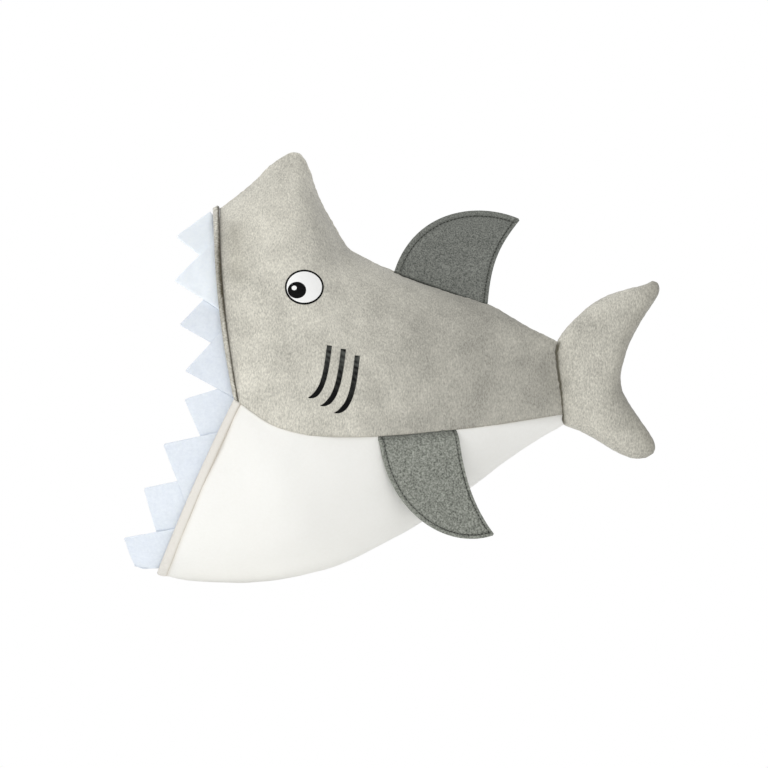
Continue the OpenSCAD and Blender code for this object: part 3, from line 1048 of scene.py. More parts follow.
    def find(self, flat: np.ndarray) -> tuple[np.ndarray, np.ndarray]:
        """Station and share of the flank's points over places of the side view.

        The station is halved in on, until its line from top to seam passes through
        the place.

        Args:
            flat: places of the side view, X and Z.

        Returns:
            The stations, and the shares from top to seam.
        """
        low, high = np.full(flat.shape[:-1], 1.0), np.full(flat.shape[:-1], 10.0)
        for _ in range(22):
            middle = (low + high) / 2
            down, place_of = self.seam(middle) - self.top(middle), flat - self.top(middle)
            ahead = down[..., 0] * place_of[..., 1] - down[..., 1] * place_of[..., 0] > 0
            low, high = np.where(ahead, middle, low), np.where(ahead, high, middle)
        length = np.linalg.norm(self.seam(low) - self.top(low), axis=-1)
        return low, np.linalg.norm(flat - self.top(low), axis=-1) / length


@dataclass(frozen=True)
class Flank:
    """The outer surface of a grey side, with the unevenness that its prints follow."""

    form: ShellForm
    side: Side

    def relief(self, points: np.ndarray) -> np.ndarray:
        """Unevenness at points of the right-hand surface.

        Args:
            points: points of the smooth shell.

        Returns:
            Height above the smooth shell.
        """
        seed = 11 if self.side is Side.LEFT else 12
        broad = Ripples(seed, 62 * MM, 0.75 * MM).at(points)
        middling = Ripples(seed + 10, 24 * MM, 0.22 * MM).at(points)
        folds = [
            Fold((0.014, 0.118), (0.012, 0.052), 11 * MM, -1.6 * MM),
            Fold((0.052, 0.155), (0.078, 0.105), 9 * MM, -1.2 * MM),
            Fold((0.086, 0.098), (0.066, 0.128), 5 * MM, 0.9 * MM),
            Fold((0.205, 0.04), (0.236, 0.02), 9 * MM, -0.9 * MM),
            Fold((0.026, 0.172), (0.04, 0.18), 9 * MM, 1.6 * MM),
        ]
        return broad + middling + sum(f.at(points) for f in folds)

    def at(self, flat: np.ndarray, lift: np.ndarray | float) -> tuple[np.ndarray, np.ndarray]:
        """Points over places of the side view, lifted off the cloth.

        Args:
            flat: places of the side view, X and Z.
            lift: height above the cloth.

        Returns:
            The points and the cloth's unit normals.
        """
        u, t = self.form.find(flat)
        step = 0.002
        base = self.form.upper(u, t, gap=SEAM_GAP)
        along = self.form.upper(u + step, t, gap=SEAM_GAP) - base
        down = self.form.upper(u, np.minimum(t + step, 1), gap=SEAM_GAP) - base
        normal = unit(np.cross(along, down))
        height = self.relief(base) + lift
        return base + normal * height[..., None], normal


# ---------------------------------------------------------------- panels


@dataclass(frozen=True)
class SidePanel:
    """Grey velour side, foam backed, from the top ridge to the side seam."""

    flank: Flank
    rows: int = 185
    columns: int = 118
    # First and last station, and lengths of the panel and of a section, by which its
    # rounded edges are graded
    first: float = 0.22
    last: float = 11.02
    length: float = 0.27
    girth: float = 0.19
    mouth_pull: SeamPull = SeamPull(0.7 * MM, 2.2 * MM, 0.12 * MM, 9 * MM)
    ridge_pull: SeamPull = SeamPull(0.0, 4 * MM, 0.12 * MM, 8 * MM)
    seam_pull: SeamPull = SeamPull(0.35 * MM, 4 * MM, 0.12 * MM, 7 * MM)
    tail_pull: SeamPull = SeamPull(0.0, 6 * MM, 0.3 * MM, 6 * MM)
    pile: Ripples = Ripples(31, 3.6 * MM, 0.07 * MM)
    # Painted shadow of the soft dent behind the hem, on the snout
    snout_crease: Fold = Fold((-0.003, 0.124), (-0.001, 0.094), 8 * MM, 0.2)
    # How far its lower edge laps over the belly
    lap: float = 0.8 * MM

    def skin(self) -> Skin:
        """Surface of the panel.

        Returns:
            The closed sheet, for the right side.
        """
        form = self.flank.form
        shares = graded(self.length, self.rows, form.panel_edge)
        u = form.stations(self.first, self.last, shares, low=False)
        turn = graded(self.girth, self.columns, form.panel_edge) * math.pi / 2
        t = (1 - np.cos(turn))[None, :]
        base = form.upper(u[:, None], t, gap=SEAM_GAP)
        base[..., 2] -= self.lap * t**3
        normal, border = grid_normal(base), Borders(base)
        height = (
            self.flank.relief(base)
            + self.pile.at(base)
            + self.mouth_pull.at(border.first_row, border.across)
            + self.tail_pull.at(border.last_row, border.across)
            + self.ridge_pull.at(border.first_column, border.down)
            + self.seam_pull.at(border.last_column, border.down)
        )
        # Painted shade at the mouth edge, the tail end and the side seam, and the snout's painted
        # shadow
        shade = (
            0.3 * bell(border.first_row, 0.8 * MM)
            + 0.7 * bell(border.last_row, 1.2 * MM)
            + 0.3 * bell(border.last_column, 0.9 * MM)
            + self.snout_crease.at(base)
        )
        made = form.panel(u, base, normal, height, shade)
        made.points[:, 1] = np.maximum(made.points[:, 1], SEAM_GAP)
        return made.on(self.flank.side)

    def build(self, wardrobe: Wardrobe) -> bpy.types.Object:
        """Makes the dressed panel."""
        node = f"side_panel_{self.flank.side.word}"
        piece = wardrobe.dress(self.skin(), node, "grey_velour", "hat_body")
        return piece


@dataclass(frozen=True)
class BellyPanel:
    """White jersey belly, foam backed, from one side seam round to the other."""

    form: ShellForm
    rows: int = 175
    columns: int = 150
    first: float = 0.29
    last: float = 11.02
    length: float = 0.3
    girth: float = 0.27
    mouth_pull: SeamPull = SeamPull(0.6 * MM, 3 * MM, 0.1 * MM, 10 * MM)
    seam_pull: SeamPull = SeamPull(0.8 * MM, 5 * MM, 0.12 * MM, 9 * MM)
    tail_pull: SeamPull = SeamPull(0.1 * MM, 8 * MM, 0.25 * MM, 6 * MM)

    def skin(self) -> Skin:
        """Surface of the panel.

        Returns:
            The closed sheet.
        """
        form = self.form
        shares = graded(self.length, self.rows, form.panel_edge)
        u = form.stations(self.first, self.last, shares, low=True)
        turn = (graded(self.girth, self.columns, form.panel_edge) - 0.5) * math.pi
        base = form.lower(u[:, None], turn[None, :], gap=SEAM_GAP)
        normal, border = -grid_normal(base), Borders(base)
        folds = [
            Fold((0.006, -0.02), (0.05, -0.1), 15 * MM, 1.3 * MM),
            Fold((0.0, -0.05), (0.01, -0.12), 14 * MM, -0.9 * MM),
            Fold((0.12, -0.06), (0.17, -0.045), 8 * MM, -0.8 * MM),
        ]
        height = (
            Ripples(41, 70 * MM, 0.8 * MM).at(base)
            + Ripples(42, 22 * MM, 0.12 * MM).at(base)
            + sum(f.at(base) for f in folds)
            + self.mouth_pull.at(border.first_row, border.across)
            + self.tail_pull.at(border.last_row, border.across)
            + self.seam_pull.at(border.first_column, border.down)
            + self.seam_pull.at(border.last_column, border.down)
        )
        # Painted shade at the mouth edge, along both side seams and at the tail end
        seams = np.minimum(border.first_column, border.last_column)
        shade = (
            0.7 * bell(border.first_row, 2.2 * MM)
            + 0.4 * bell(seams, 1.2 * MM)
            + 0.5 * bell(border.last_row, 1.5 * MM)
        )
        return form.panel(u, base, normal, height, shade)

    def build(self, wardrobe: Wardrobe) -> bpy.types.Object:
        """Makes the dressed panel."""
        piece = wardrobe.dress(self.skin(), "belly_panel", "white_jersey", "hat_body")
        return piece


@dataclass(frozen=True)
class HeadLining:
    """Cloth pocket that the wearer's head goes into."""

    form: ShellForm
    front_share: float = 0.17
    # Stations over which the ceiling comes down from the hem
    ceiling_run: float = 0.6
    parts: tuple[int, int] = (28, 56)
    # Shrinking rings close the back wall: distance behind the pocket, and size
    back_wall: tuple = (
        (0.0, 1.0), (0.06, 0.97), (0.12, 0.85), (0.16, 0.65), (0.18, 0.4), (0.2, 0.15),
    )
    wall_rings: int = 46
    # Length of one station at the pocket's back
    station_length: float = 30 * MM
    slack: Ripples = Ripples(51, 34 * MM, 0.5 * MM)

    def rings(self, inset: float, back: float) -> np.ndarray:
        """Rings of one face of the cloth.

        Args:
            inset: depth of that face inside the shell.
            back: how far its back wall lies ahead of the outer one, in stations.

        Returns:
            The rings from the front to the back wall.
        """
        form = self.form
        depth = np.array([d for d, _ in self.back_wall]) - back
        shrink = np.array([s for _, s in self.back_wall])
        front = form.hem_share + self.front_share
        body = np.linspace(front, form.pocket_depth, self.wall_rings)
        u = np.concatenate([body, form.pocket_depth + depth[1:]])
        size = np.concatenate([np.ones(len(body)), shrink[1:]])
        lowered = through(form.ceiling_line, u) * np.clip((u - front) / self.ceiling_run, 0, 1)
        rings = form.rings(u, inset, self.parts, lowered[:, None])
        middle = rings.mean(axis=1, keepdims=True)
        return middle + (rings - middle) * size[:, None, None]

    def skin(self) -> Skin:
        """Surface of the pocket: its inside back to front, then its outside."""
        form = self.form
        inset = form.panel_thickness + LAYER_GAP
        outer = self.rings(inset, 0.0)
        inset += form.lining_thickness
        inner = self.rings(inset, form.lining_thickness / self.station_length)
        rings = np.concatenate([inner[::-1], outer])
        centre = rings.mean(axis=1, keepdims=True)
        inward = unit(centre - rings)
        slack = np.abs(self.slack.at(rings))
        return loft(rings + inward * slack[..., None])

    def build(self, wardrobe: Wardrobe) -> bpy.types.Object:
        """Makes the dressed pocket, cut as a band for its wall and a round back."""
        piece = wardrobe.dress(self.skin(), "head_lining", "lining_cloth", "hat_body")
        return piece


@dataclass(frozen=True)
class Stuffing:
    """Loose fibre inside a closed space, as lumpy rings."""

    form: ShellForm
    fibre_gap: float = 1.2 * MM
    # Stations that the snout's fibre fills, and the share of the depth above the pocket
    snout_stations: tuple[float, float] = (1, 5)
    snout_fill: float = 0.85
    # Stations that the body's fibre keeps off the pocket's back and off the tail seam
    behind_pocket: float = 0.4
    before_tail: float = 0.5
    lumps: Ripples = Ripples(61, 16 * MM, 0.7 * MM)

    def _lumpy(self, rings: np.ndarray) -> Skin:
        """Surface through rings, pressed in unevenly."""
        inward = unit(rings.mean(axis=1, keepdims=True) - rings)
        return loft(rings + inward * np.abs(self.lumps.at(rings))[..., None])

    def snout(self) -> Skin:
        """Fibre above the pocket's ceiling."""
        form = self.form
        u = np.linspace(*self.snout_stations, 40)
        share = self.snout_fill * through(form.ceiling_line, u)[:, None]
        share = share * np.linspace(0, 1, 15) ** 1.5
        inset = form.panel_thickness + LAYER_GAP + self.fibre_gap
        right = form.upper(u[:, None], share, inset)
        return self._lumpy(np.concatenate([right, right[:, :0:-1] * [1, -1, 1]], axis=1))

    def body(self) -> Skin:
        """Fibre behind the pocket."""
        form = self.form
        first, last = form.pocket_depth + self.behind_pocket, form.last - self.before_tail
        inset = form.panel_thickness + form.lining_thickness + 2 * LAYER_GAP
        return self._lumpy(form.rings(np.linspace(first, last, 48), inset, (21, 40)))

    def build(self, wardrobe: Wardrobe) -> None:
        """Makes both dressed fillings."""
        for skin, node in ((self.snout(), "snout_stuffing"), (self.body(), "body_stuffing")):
            piece = wardrobe.dress(skin, node, "fibre_filling", "hat_body")


# ---------------------------------------------------------------- mouth


@dataclass(frozen=True)
class MouthTrim:
    """Rolled hem of the upper rim and binding of the lower one."""

    form: ShellForm
    width: float = 6 * MM
    round_edge: float = 1.9 * MM
    # Stations that the hem and the binding reach back from the rim, and their lengths
    hem_reach: float = 0.26
    binding_reach: float = 0.34
    hem_length: float = 0.34
    binding_length: float = 0.33
    rise: float = 0.8 * MM
    # Height where the painted shadow in the hem's crease is widest, and how much wider it is there
    crease_height: float = 90 * MM
    crease: float = 2.2 * MM
    crease_run: float = 27 * MM
    # Distance from one stroke of the hem's combed pile to the next
    stroke_pitch: float = 1.9 * MM
    puckers: SeamPull = SeamPull(0.0, 5 * MM, 0.22 * MM, 6.5 * MM)

    def _band(self, base: np.ndarray, crease_shade: float, pile_shade: float) -> Skin:
        """Padded band over a grid of the shell.

        Args:
            base: points of the shell, rows along the rim and columns back from it.
            crease_shade: painted shadow in the crease along its back edge, fainter along its front
                edge.
            pile_shade: painted shade of its combed pile, over all of it and in short strokes across
                it.

        Returns:
            The closed band.
        """
        normal, border = grid_normal(base), Borders(base)
        thickness = np.full(base.shape[:2], self.form.panel_thickness + self.rise)
        height = self.puckers.at(border.first_column, border.down)
        height = height + Ripples(71, 5 * MM, 0.1 * MM).at(base)
        middle = base + normal * (self.rise + height - thickness / 2)[..., None]
        half = rounded(thickness, border.nearest(), thickness[0, 0] / 2)
        # Painted shade: a shadow in the back edge's crease, widest at the crease's height, a
        # fainter one along the front edge, and the combed pile's shade
        deep = bell(base[..., 2] - self.crease_height, self.crease_run)
        back = bell(border.last_column, 0.9 * MM + self.crease * deep)
        front = bell(border.first_column, 0.8 * MM)
        turn = border.down * 2 * math.pi / self.stroke_pitch
        strokes = np.sin(turn + 3 * np.sin(border.down / (3.1 * MM)))
        strokes = strokes + Ripples(72, 2.2 * MM, 0.6).at(base)
        shade = crease_shade * (back + 0.3 * front) + pile_shade * (0.8 + 0.7 * strokes)
        return leaf(middle, normal, half, np.clip(shade, 0, 1))

    def _stations(self, reach: float) -> np.ndarray:
        """Stations from the rim back to a band's other edge."""
        return graded(self.width, 10, self.round_edge) * reach

    def hem(self) -> Skin:
        """Grey hem, from one mouth corner over the top to the other."""
        turn = graded(self.hem_length, 420, 2 * MM) * math.pi - math.pi / 2
        t = 1 - np.cos(turn)
        base = self.form.upper(self._stations(self.hem_reach)[None, :], t[:, None])
        base[..., 1] *= np.sign(turn)[:, None]
        base[..., 2] += SEAM_GAP
        return self._band(base, crease_shade=1.0, pile_shade=0.2)

    def binding(self) -> Skin:
        """White binding, from one mouth corner under the jaw to the other."""
        turn = (graded(self.binding_length, 220, 2 * MM) - 0.5) * math.pi
        u = self._stations(self.binding_reach)
        base = self.form.lower(u[None, :], turn[:, None], gap=SEAM_GAP)
        return self._band(base, crease_shade=0.7, pile_shade=0.0)

    def build(self, wardrobe: Wardrobe) -> None:
        """Makes both dressed bands."""
        wardrobe.dress(self.hem(), "upper_rim_hem", "hem_velour", "hat_body")
        wardrobe.dress(self.binding(), "lower_rim_binding", "binding_jersey", "hat_body")


@dataclass(frozen=True)
class ToothRow:
    """Felt teeth along one leg of the mouth rim."""

    form: ShellForm
    jaw: Jaw
    # Each tooth's base start, tip and base end, as shares of this leg, and its length.
    # The upper leg runs down from the middle plane, the lower one from the mouth corner.
    teeth: tuple[tuple[float, float, float, float], ...]
    # Direction out of the mouth, and the one at the middle plane
    away: tuple[float, float, float]
    away_middle: tuple[float, float, float]
    finishes: tuple[str, ...]
    felt: float = 1.5 * MM
    softness: float = 0.06
    # How far the base is tucked behind the rim, in stations, and the rows of that part
    tuck: float = 0.22
    tuck_rows: tuple[float, ...] = (1.0, 0.97, 0.9, 0.6, 0.25)
    # Share of a tooth over which it comes clear of the rim, and at which it is cut off
    clearing: float = 0.06
    cut_off: float = 0.975
    # Share of the leg, from the middle plane, over which the teeth's direction changes
    middle_run: float = 0.09
    curl: float = 1.3 * MM

    def rim_length(self) -> float:
        """Length that shares of this leg are measured in."""
        if self.jaw is Jaw.UPPER:
            return float(self.form.top(np.array(0.0))[1])
        line = self.form.bottom(np.array(0.0)) - self.form.seam(np.array(0.0))
        return float(np.linalg.norm(line))

    def rim(
        self, share: np.ndarray, depth: float, u: np.ndarray, clear: np.ndarray
    ) -> np.ndarray:
        """Points of the rim, a share of the way along this leg.

        A tooth lies on the layer at its depth, at the height that the share gives on the
        rim itself. In front of the rim an upper tooth reaches up past that layer's end,
        where the layer's share, the mean of x and the root of x squared plus softness
        squared, fades out. A lower tooth may start above the mouth corner, at a share
        below zero.

        Args:
            share: shares of the leg's length.
            depth: depth inside the shell.
            u: stations.
            clear: 0 inside the rim to 1 in front of it.

        Returns:
            The points.
        """
        if self.jaw is Jaw.UPPER:
            drop = depth * self.form.ridge_depth / self.rim_length()
            layer = (share - drop) / (1 - drop)
            layer = np.clip((layer + np.sqrt(layer**2 + self.softness**2)) / 2, 0, 1)
            inside = self.form.upper(u, layer, depth, gap=SEAM_GAP)
            outside = self.form.upper(u, share, gap=SEAM_GAP)
        else:
            shown = 1 - depth / self.rim_length()
            kept = np.minimum(share, shown)
            layer = np.clip(kept / shown, 0, 1)
            inside = self.form.lower(u, np.arccos(layer), depth, SEAM_GAP) + [0, SEAM_GAP, 0]
            outside = self.form.lower(u, np.arccos(np.clip(kept, 0, 1)), gap=SEAM_GAP)
            past = np.minimum(share, 0)[..., None] * (self.form.bottom(u) - self.form.seam(u))
            inside[..., [0, 2]] += past
            outside[..., [0, 2]] += past
        outside[..., 1] = inside[..., 1]
        return inside + (outside - inside) * clear[..., None]

    def skin(self, number: int, side: Side) -> Skin:
        """Surface of one tooth.

        Its rows run from the tucked base to the tip. At a share f of its length it
        reaches from a point f of the way between its base's start and the tip to one f
        of the way between its base's end and the tip, and its tip curls by the cube of f.

        Args:
            number: 1 for the first tooth from the middle plane or the mouth corner.
            side: the side it is on.

        Returns:
            The closed tooth.
        """
        start, tip, end, length = self.teeth[number - 1]
        tucked = np.array(self.tuck_rows) * self.tuck
        reach = 1 - (1 - np.linspace(0, 1, 24)) ** 1.15
        f = np.concatenate([np.zeros(len(tucked)), reach * self.cut_off])[:, None]
        u = np.concatenate([tucked, np.zeros(len(reach))])[:, None]
        first = 0.0 if self.jaw is Jaw.UPPER else start
        low = np.maximum(start + (tip - start) * f, first)
        high = np.minimum(end + (tip - end) * f, 1)
        across = graded((end - start) * self.rim_length(), 22, self.felt / 2)[None, :]
        depth = self.form.panel_thickness + 2 * LAYER_GAP + self.felt / 2
        depth += (number % 2) * (self.felt + LAYER_GAP)
        share = low + (high - low) * across
        clear = np.broadcast_to(np.clip(f / self.clearing, 0, 1), share.shape)
        points = self.rim(share, depth, u, clear)
        from_middle = share if self.jaw is Jaw.UPPER else 1 - share
        turned = np.clip(from_middle / self.middle_run, 0, 1)[..., None]
        away = np.array(self.away_middle) * (1 - turned) + np.array(self.away) * turned
        points = points + away * length * f[..., None]
        rng = np.random.default_rng(100 + 10 * number + (self.jaw is Jaw.LOWER) + 2 * side.value)
        bend = rng.uniform(0.3, 1.0) * self.curl * rng.choice([-1, 1])
        points[..., 1] += bend * f**3
        normal, border = grid_normal(points), Borders(points)
        uneven = Ripples(120 + number, 9 * MM, 0.12 * MM).at(points)
        half = rounded(np.full(points.shape[:2], self.felt), border.nearest(), self.felt / 2)
        # Painted shade near the base, where the tooth goes in behind the rim
        shade = 0.3 * np.exp(-border.first_row / (5 * MM))
        made = leaf(points + normal * uneven[..., None], normal, half, shade)
        made.points[:, 1] = np.maximum(made.points[:, 1], SEAM_GAP)
        return made.on(side)

    def build(self, wardrobe: Wardrobe) -> None:
        """Makes the dressed teeth of both sides."""
        for side in Side:
            for number in range(1, len(self.teeth) + 1):
                node = f"{self.jaw.value}_tooth_{side.word}_{number}"
                skin, finish = self.skin(number, side), self.finishes[number - 1]
                wardrobe.dress(skin, node, finish, "hat_body")


# ---------------------------------------------------------------- eyes and gills


@dataclass(frozen=True)
class Eye:
    """Cartoon eye pressed on the flank in four layers."""

    flank: Flank
    centre: tuple[float, float] = (49.5 * MM, 82.4 * MM)
    length: float = 29.2 * MM
    height: float = 25.6 * MM
    line: float = 1.4 * MM
    layer: float = 0.22 * MM
    # Place of the pupil from the centre and of the highlight from the pupil, and their
    # sizes, as shares of the eye's length and height
    pupil_place: tuple[float, float] = (-0.19, -0.088)
    pupil_size: float = 0.47
    highlight_place: tuple[float, float] = (-0.07, 0.06)
    highlight_size: float = 0.13

    def oval(self, centre: np.ndarray, size: np.ndarray, level: int) -> Skin:
        """Oval layer on the cloth.

        A square grid is rounded into a disc: each coordinate is multiplied by the root
        of one minus half the square of the other.

        Args:
            centre: its middle in the side view.
            size: its length and height.
            level: its place in the stack, 0 for the lowest.

        Returns:
            The closed layer.
        """
        side = graded(float(size.min()), 26, 0.4 * MM) * 2 - 1
        a, b = np.meshgrid(side, side, indexing="ij")
        disc = np.stack([a * np.sqrt(1 - b * b / 2), b * np.sqrt(1 - a * a / 2)], axis=-1)
        flat = centre + disc * size / 2
        middle, normal = self.flank.at(flat, self.layer * (level + 0.5))
        inside = (1 - np.linalg.norm(disc, axis=-1)) * size.min() / 2
        half = rounded(np.full(a.shape, self.layer * 2), inside, 0.35 * MM)
        half[[0, -1]] = 0
        half[:, [0, -1]] = 0
        return leaf(middle, normal, half, np.zeros(a.shape)).on(self.flank.side)

    def build(self, wardrobe: Wardrobe) -> None:
        """Makes the four dressed layers."""
        centre, size = np.array(self.centre), np.array([self.length, self.height])
        pupil = centre + np.array(self.pupil_place) * size
        highlight = pupil + np.array(self.highlight_place) * size
        layers = (
            ("eye_outline", centre, size, "black_print"),
            ("eye_white", centre, size - 2 * self.line, "white_print"),
            ("eye_pupil", pupil, self.pupil_size * size, "black_print"),
            ("eye_highlight", highlight, self.highlight_size * size, "white_print"),
        )
        for level, (name, middle, extent, finish) in enumerate(layers):
            skin = self.oval(middle, extent, level)
            wardrobe.dress(skin, f"{name}_{self.flank.side.word}", finish, "hat_body")


@dataclass(frozen=True)
class Gills:
    """Three printed strokes that hook forwards and end in a point."""

    flank: Flank
    start: tuple[float, float] = (68.3 * MM, 39 * MM)
    # Each stroke's top, from the first one's, and its size
    strokes: tuple = (
        (0.0, 0.0, 1.0), (10.7 * MM, -2.4 * MM, 1.09), (21.0 * MM, -7.4 * MM, 1.1),
    )
    width: float = 3.9 * MM
    height: float = 40 * MM
    thickness: float = 0.3 * MM
    hook: tuple = ((0, 0), (-0.045, -0.42), (-0.11, -0.95), (-0.4, -0.975))
    # Share of a stroke over which it narrows to its point, and share it is worn over
    point_run: float = 0.24
    worn_run: float = 0.55

    def stroke(self, number: int) -> Skin:
        """One stroke: a band along its centreline that narrows to a point near its end."""
        f = graded(self.height, 54, 0.4 * MM)
        across_by, down_by, size = self.strokes[number]
        line = np.array(self.start) + [across_by, down_by]
        line = line + self.height * size * cubic(self.hook, f)
        along = unit(np.gradient(line, axis=0))
        side = np.stack([-along[:, 1], along[:, 0]], axis=-1)
        to_point = np.clip(f - (1 - self.point_run), 0, 1) / self.point_run
        narrowing = 1 - 0.93 * to_point**1.8
        across = graded(self.width, 8, 0.4 * MM) * 2 - 1
        offset = (self.width / 2 * narrowing)[:, None] * across[None, :]
        flat = line[:, None] + side[:, None] * offset[..., None]
        middle, normal = self.flank.at(flat, self.thickness / 3)
        distance = Borders(middle).nearest()
        half = rounded(np.full(distance.shape, self.thickness), distance, 0.35 * MM)
        patchy = 0.55 + Ripples(81, 4 * MM, 0.3).at(middle)
        worn = np.clip(1.15 - f / self.worn_run, 0, 1)[:, None] * patchy
        return leaf(middle, normal, half, np.clip(worn, 0, 1) * 0.75)

    def build(self, wardrobe: Wardrobe) -> bpy.types.Object:
        """Makes the dressed strokes."""
        first, second, third = (self.stroke(k) for k in range(3))
        skin = first.joined(second).joined(third).on(self.flank.side)
        node = f"gill_strokes_{self.flank.side.word}"
        return wardrobe.dress(skin, node, "black_print", "hat_body")


# ---------------------------------------------------------------- felt fins


@dataclass(frozen=True)
class FeltFin:
    """Fin of two felt layers, stitched together near its edges.

    front and back are the ends of its hinge line. leading and trailing are its outline's
    curves, in shares of the base and of the reach.
    """

    front: np.ndarray
    back: np.ndarray
    reach: float
    leading: tuple
    trailing: tuple
    body: str
    felt: float = 1.5 * MM
    gap: float = 0.05 * MM
    # Distances of the stitches from the leading and the trailing edge
    stitch_inset: tuple[float, float] = (4.2 * MM, 2.9 * MM)
    stitch_pitch: float = 2.9 * MM
    # Distance from the hinge line at which the stitches start
    stitch_start: float = -0.6 * MM
    # How deep a stitch presses into the felt, the groove's width and the thread's radius
    press: float = 0.35 * MM
    groove_width: float = 0.8 * MM
    thread: float = 0.34 * MM
    # Half a stitch's length as a share of the pitch, and how far it stands off the felt
    stitch_half: float = 0.43
    stitch_lift: float = 0.02 * MM
    # How far the base reaches into its seam, and how far it is drawn sideways there
    tuck: float = 3.2 * MM
    drawn: float = 0.0
    drawn_over: float = 3.5 * MM
    # How far inside the hinge line the shadow at the root starts, and its width
    root_depth: float = 1.8 * MM
    root_shade: float = 0.7 * MM
    finish: str = "dark_grey_felt"
    cup: float = 1.0 * MM
    # Share of the edges at which the tip is cut off
    cut_off: float = 0.985
    # Lengths of the hinge line, inside its seam and out of it
    bend: tuple[float, float] = (0.5 * MM, 10 * MM)
    seed: int = 0

    @property
    def rise(self) -> int:
        """1 for a fin that stands up from its base, -1 for one that hangs."""
        return 1 if self.leading[3][1] > 0 else -1

    def axes(self) -> np.ndarray:
        """Unit vectors along the base, square to the fin, and away from the base."""
        along = unit(self.back - self.front)
        square = np.array([-along[1], along[0], 0]) / math.hypot(along[0], along[1])
        return np.stack([along, square, np.cross(along, square)])

    def size(self) -> np.ndarray:
        """Length of the base, and the reach."""
        return np.array([np.linalg.norm(self.back - self.front), self.reach])

    def curve(self, which: tuple) -> np.ndarray:
        """Control points of an outline curve, in metres."""
        return np.array(which) * self.size()

    def sideways(self, flat: np.ndarray) -> np.ndarray:
        """How far the fin's middle lies off its plane: drawn in at its seam, and cupped."""
        away = np.abs(flat[..., 1])
        pull = self.drawn * np.exp(-((away / self.drawn_over) ** 1.5))
        along = math.pi * flat[..., 0] / self.size()[0]
        return pull + self.cup * (away / self.reach) ** 2 * np.sin(along)

    def placed(self, flat: np.ndarray, height: np.ndarray) -> np.ndarray:
        """Points in space of places on the fin, at a height square to it."""
        local = np.stack([flat[..., 0], self.sideways(flat) + height, flat[..., 1]], axis=-1)
        return self.front + local @ self.axes()

    def inside(self, flat: np.ndarray) -> np.ndarray:
        """Distance of places on the fin from its leading and trailing edges.

        Args:
            flat: the places.

        Returns:
            The two distances, last.
        """
        f = np.linspace(0, 1, 240)
        edges = [cubic(self.curve(c), f) for c in (self.leading, self.trailing)]
        gaps = [np.linalg.norm(flat[..., None, :] - e, axis=-1).min(axis=-1) for e in edges]
        return np.stack(gaps, axis=-1)

    def grid(self) -> np.ndarray:
        """Places on the fin: straight lines from its leading to its trailing edge."""
        f = graded(self.reach * 1.2, 62, self.felt / 2) * self.cut_off
        lead, trail = cubic(self.curve(self.leading), f), cubic(self.curve(self.trailing), 1 - f)
        tucked = np.linspace(1, 0.2, 5)[:, None] * np.array([0, -self.rise * self.tuck])
        lead, trail = (np.concatenate([edge[:1] + tucked, edge]) for edge in (lead, trail))
        across = graded(self.size()[0], 54, self.felt / 2)[None, :, None]
        return lead[:, None] * (1 - across) + trail[:, None] * across

    def outer(self, flat: np.ndarray, face: int) -> tuple[np.ndarray, np.ndarray]:
        """Height of a face's felt at places on the fin, and how deep its stitches press.

        Args:
            flat: the places.
            face: 1 for the face on the square axis's side, -1 for the other.

        Returns:
            The felt's outer height, and the groove from 0 to 1.
        """
        distances = self.inside(flat)
        groove = np.zeros(flat.shape[:-1])
        for k, inset in enumerate(self.stitch_inset):
            groove += bell(distances[..., k] - inset, self.groove_width)
        groove = groove * (distances.min(axis=-1) > 1.2 * MM) * (np.abs(flat[..., 1]) > 0.3 * MM)
        centre = self.placed(flat, np.full(groove.shape, face * self.felt))
        uneven = Ripples(201 + self.seed + face, 4 * MM, 0.06 * MM).at(centre)
        uneven += Ripples(203 + self.seed + face, 17 * MM, 0.1 * MM).at(centre)
        height = self.gap + self.felt + np.maximum(uneven, -0.1 * MM) - self.press * groove
        return height, np.clip(groove, 0, 1)

    def layer(self, face: int) -> Skin:
        """One felt layer, pressed in along its stitches.

        Args:
            face: 1 for the layer on the square axis's side, -1 for the other.

        Returns:
            The closed layer.
        """
        flat = self.grid()
        top, groove = self.outer(flat, face)
        thickness = top - self.gap
        middle = self.placed(flat, face * (self.gap + thickness / 2))
        normal = grid_normal(middle)
        half = rounded(thickness, Borders(middle).nearest(), 0.6 * MM)
        # Painted shadow at the root, where it goes under its seam, and painted shade in the stitch
        # grooves
        out = self.rise * flat[..., 1] + self.root_depth
        shade = 0.8 * np.exp(-((np.maximum(out, 0) / self.root_shade) ** 1.3)) + 0.55 * groove
        return leaf(middle, normal, half, np.clip(shade, 0, 1))

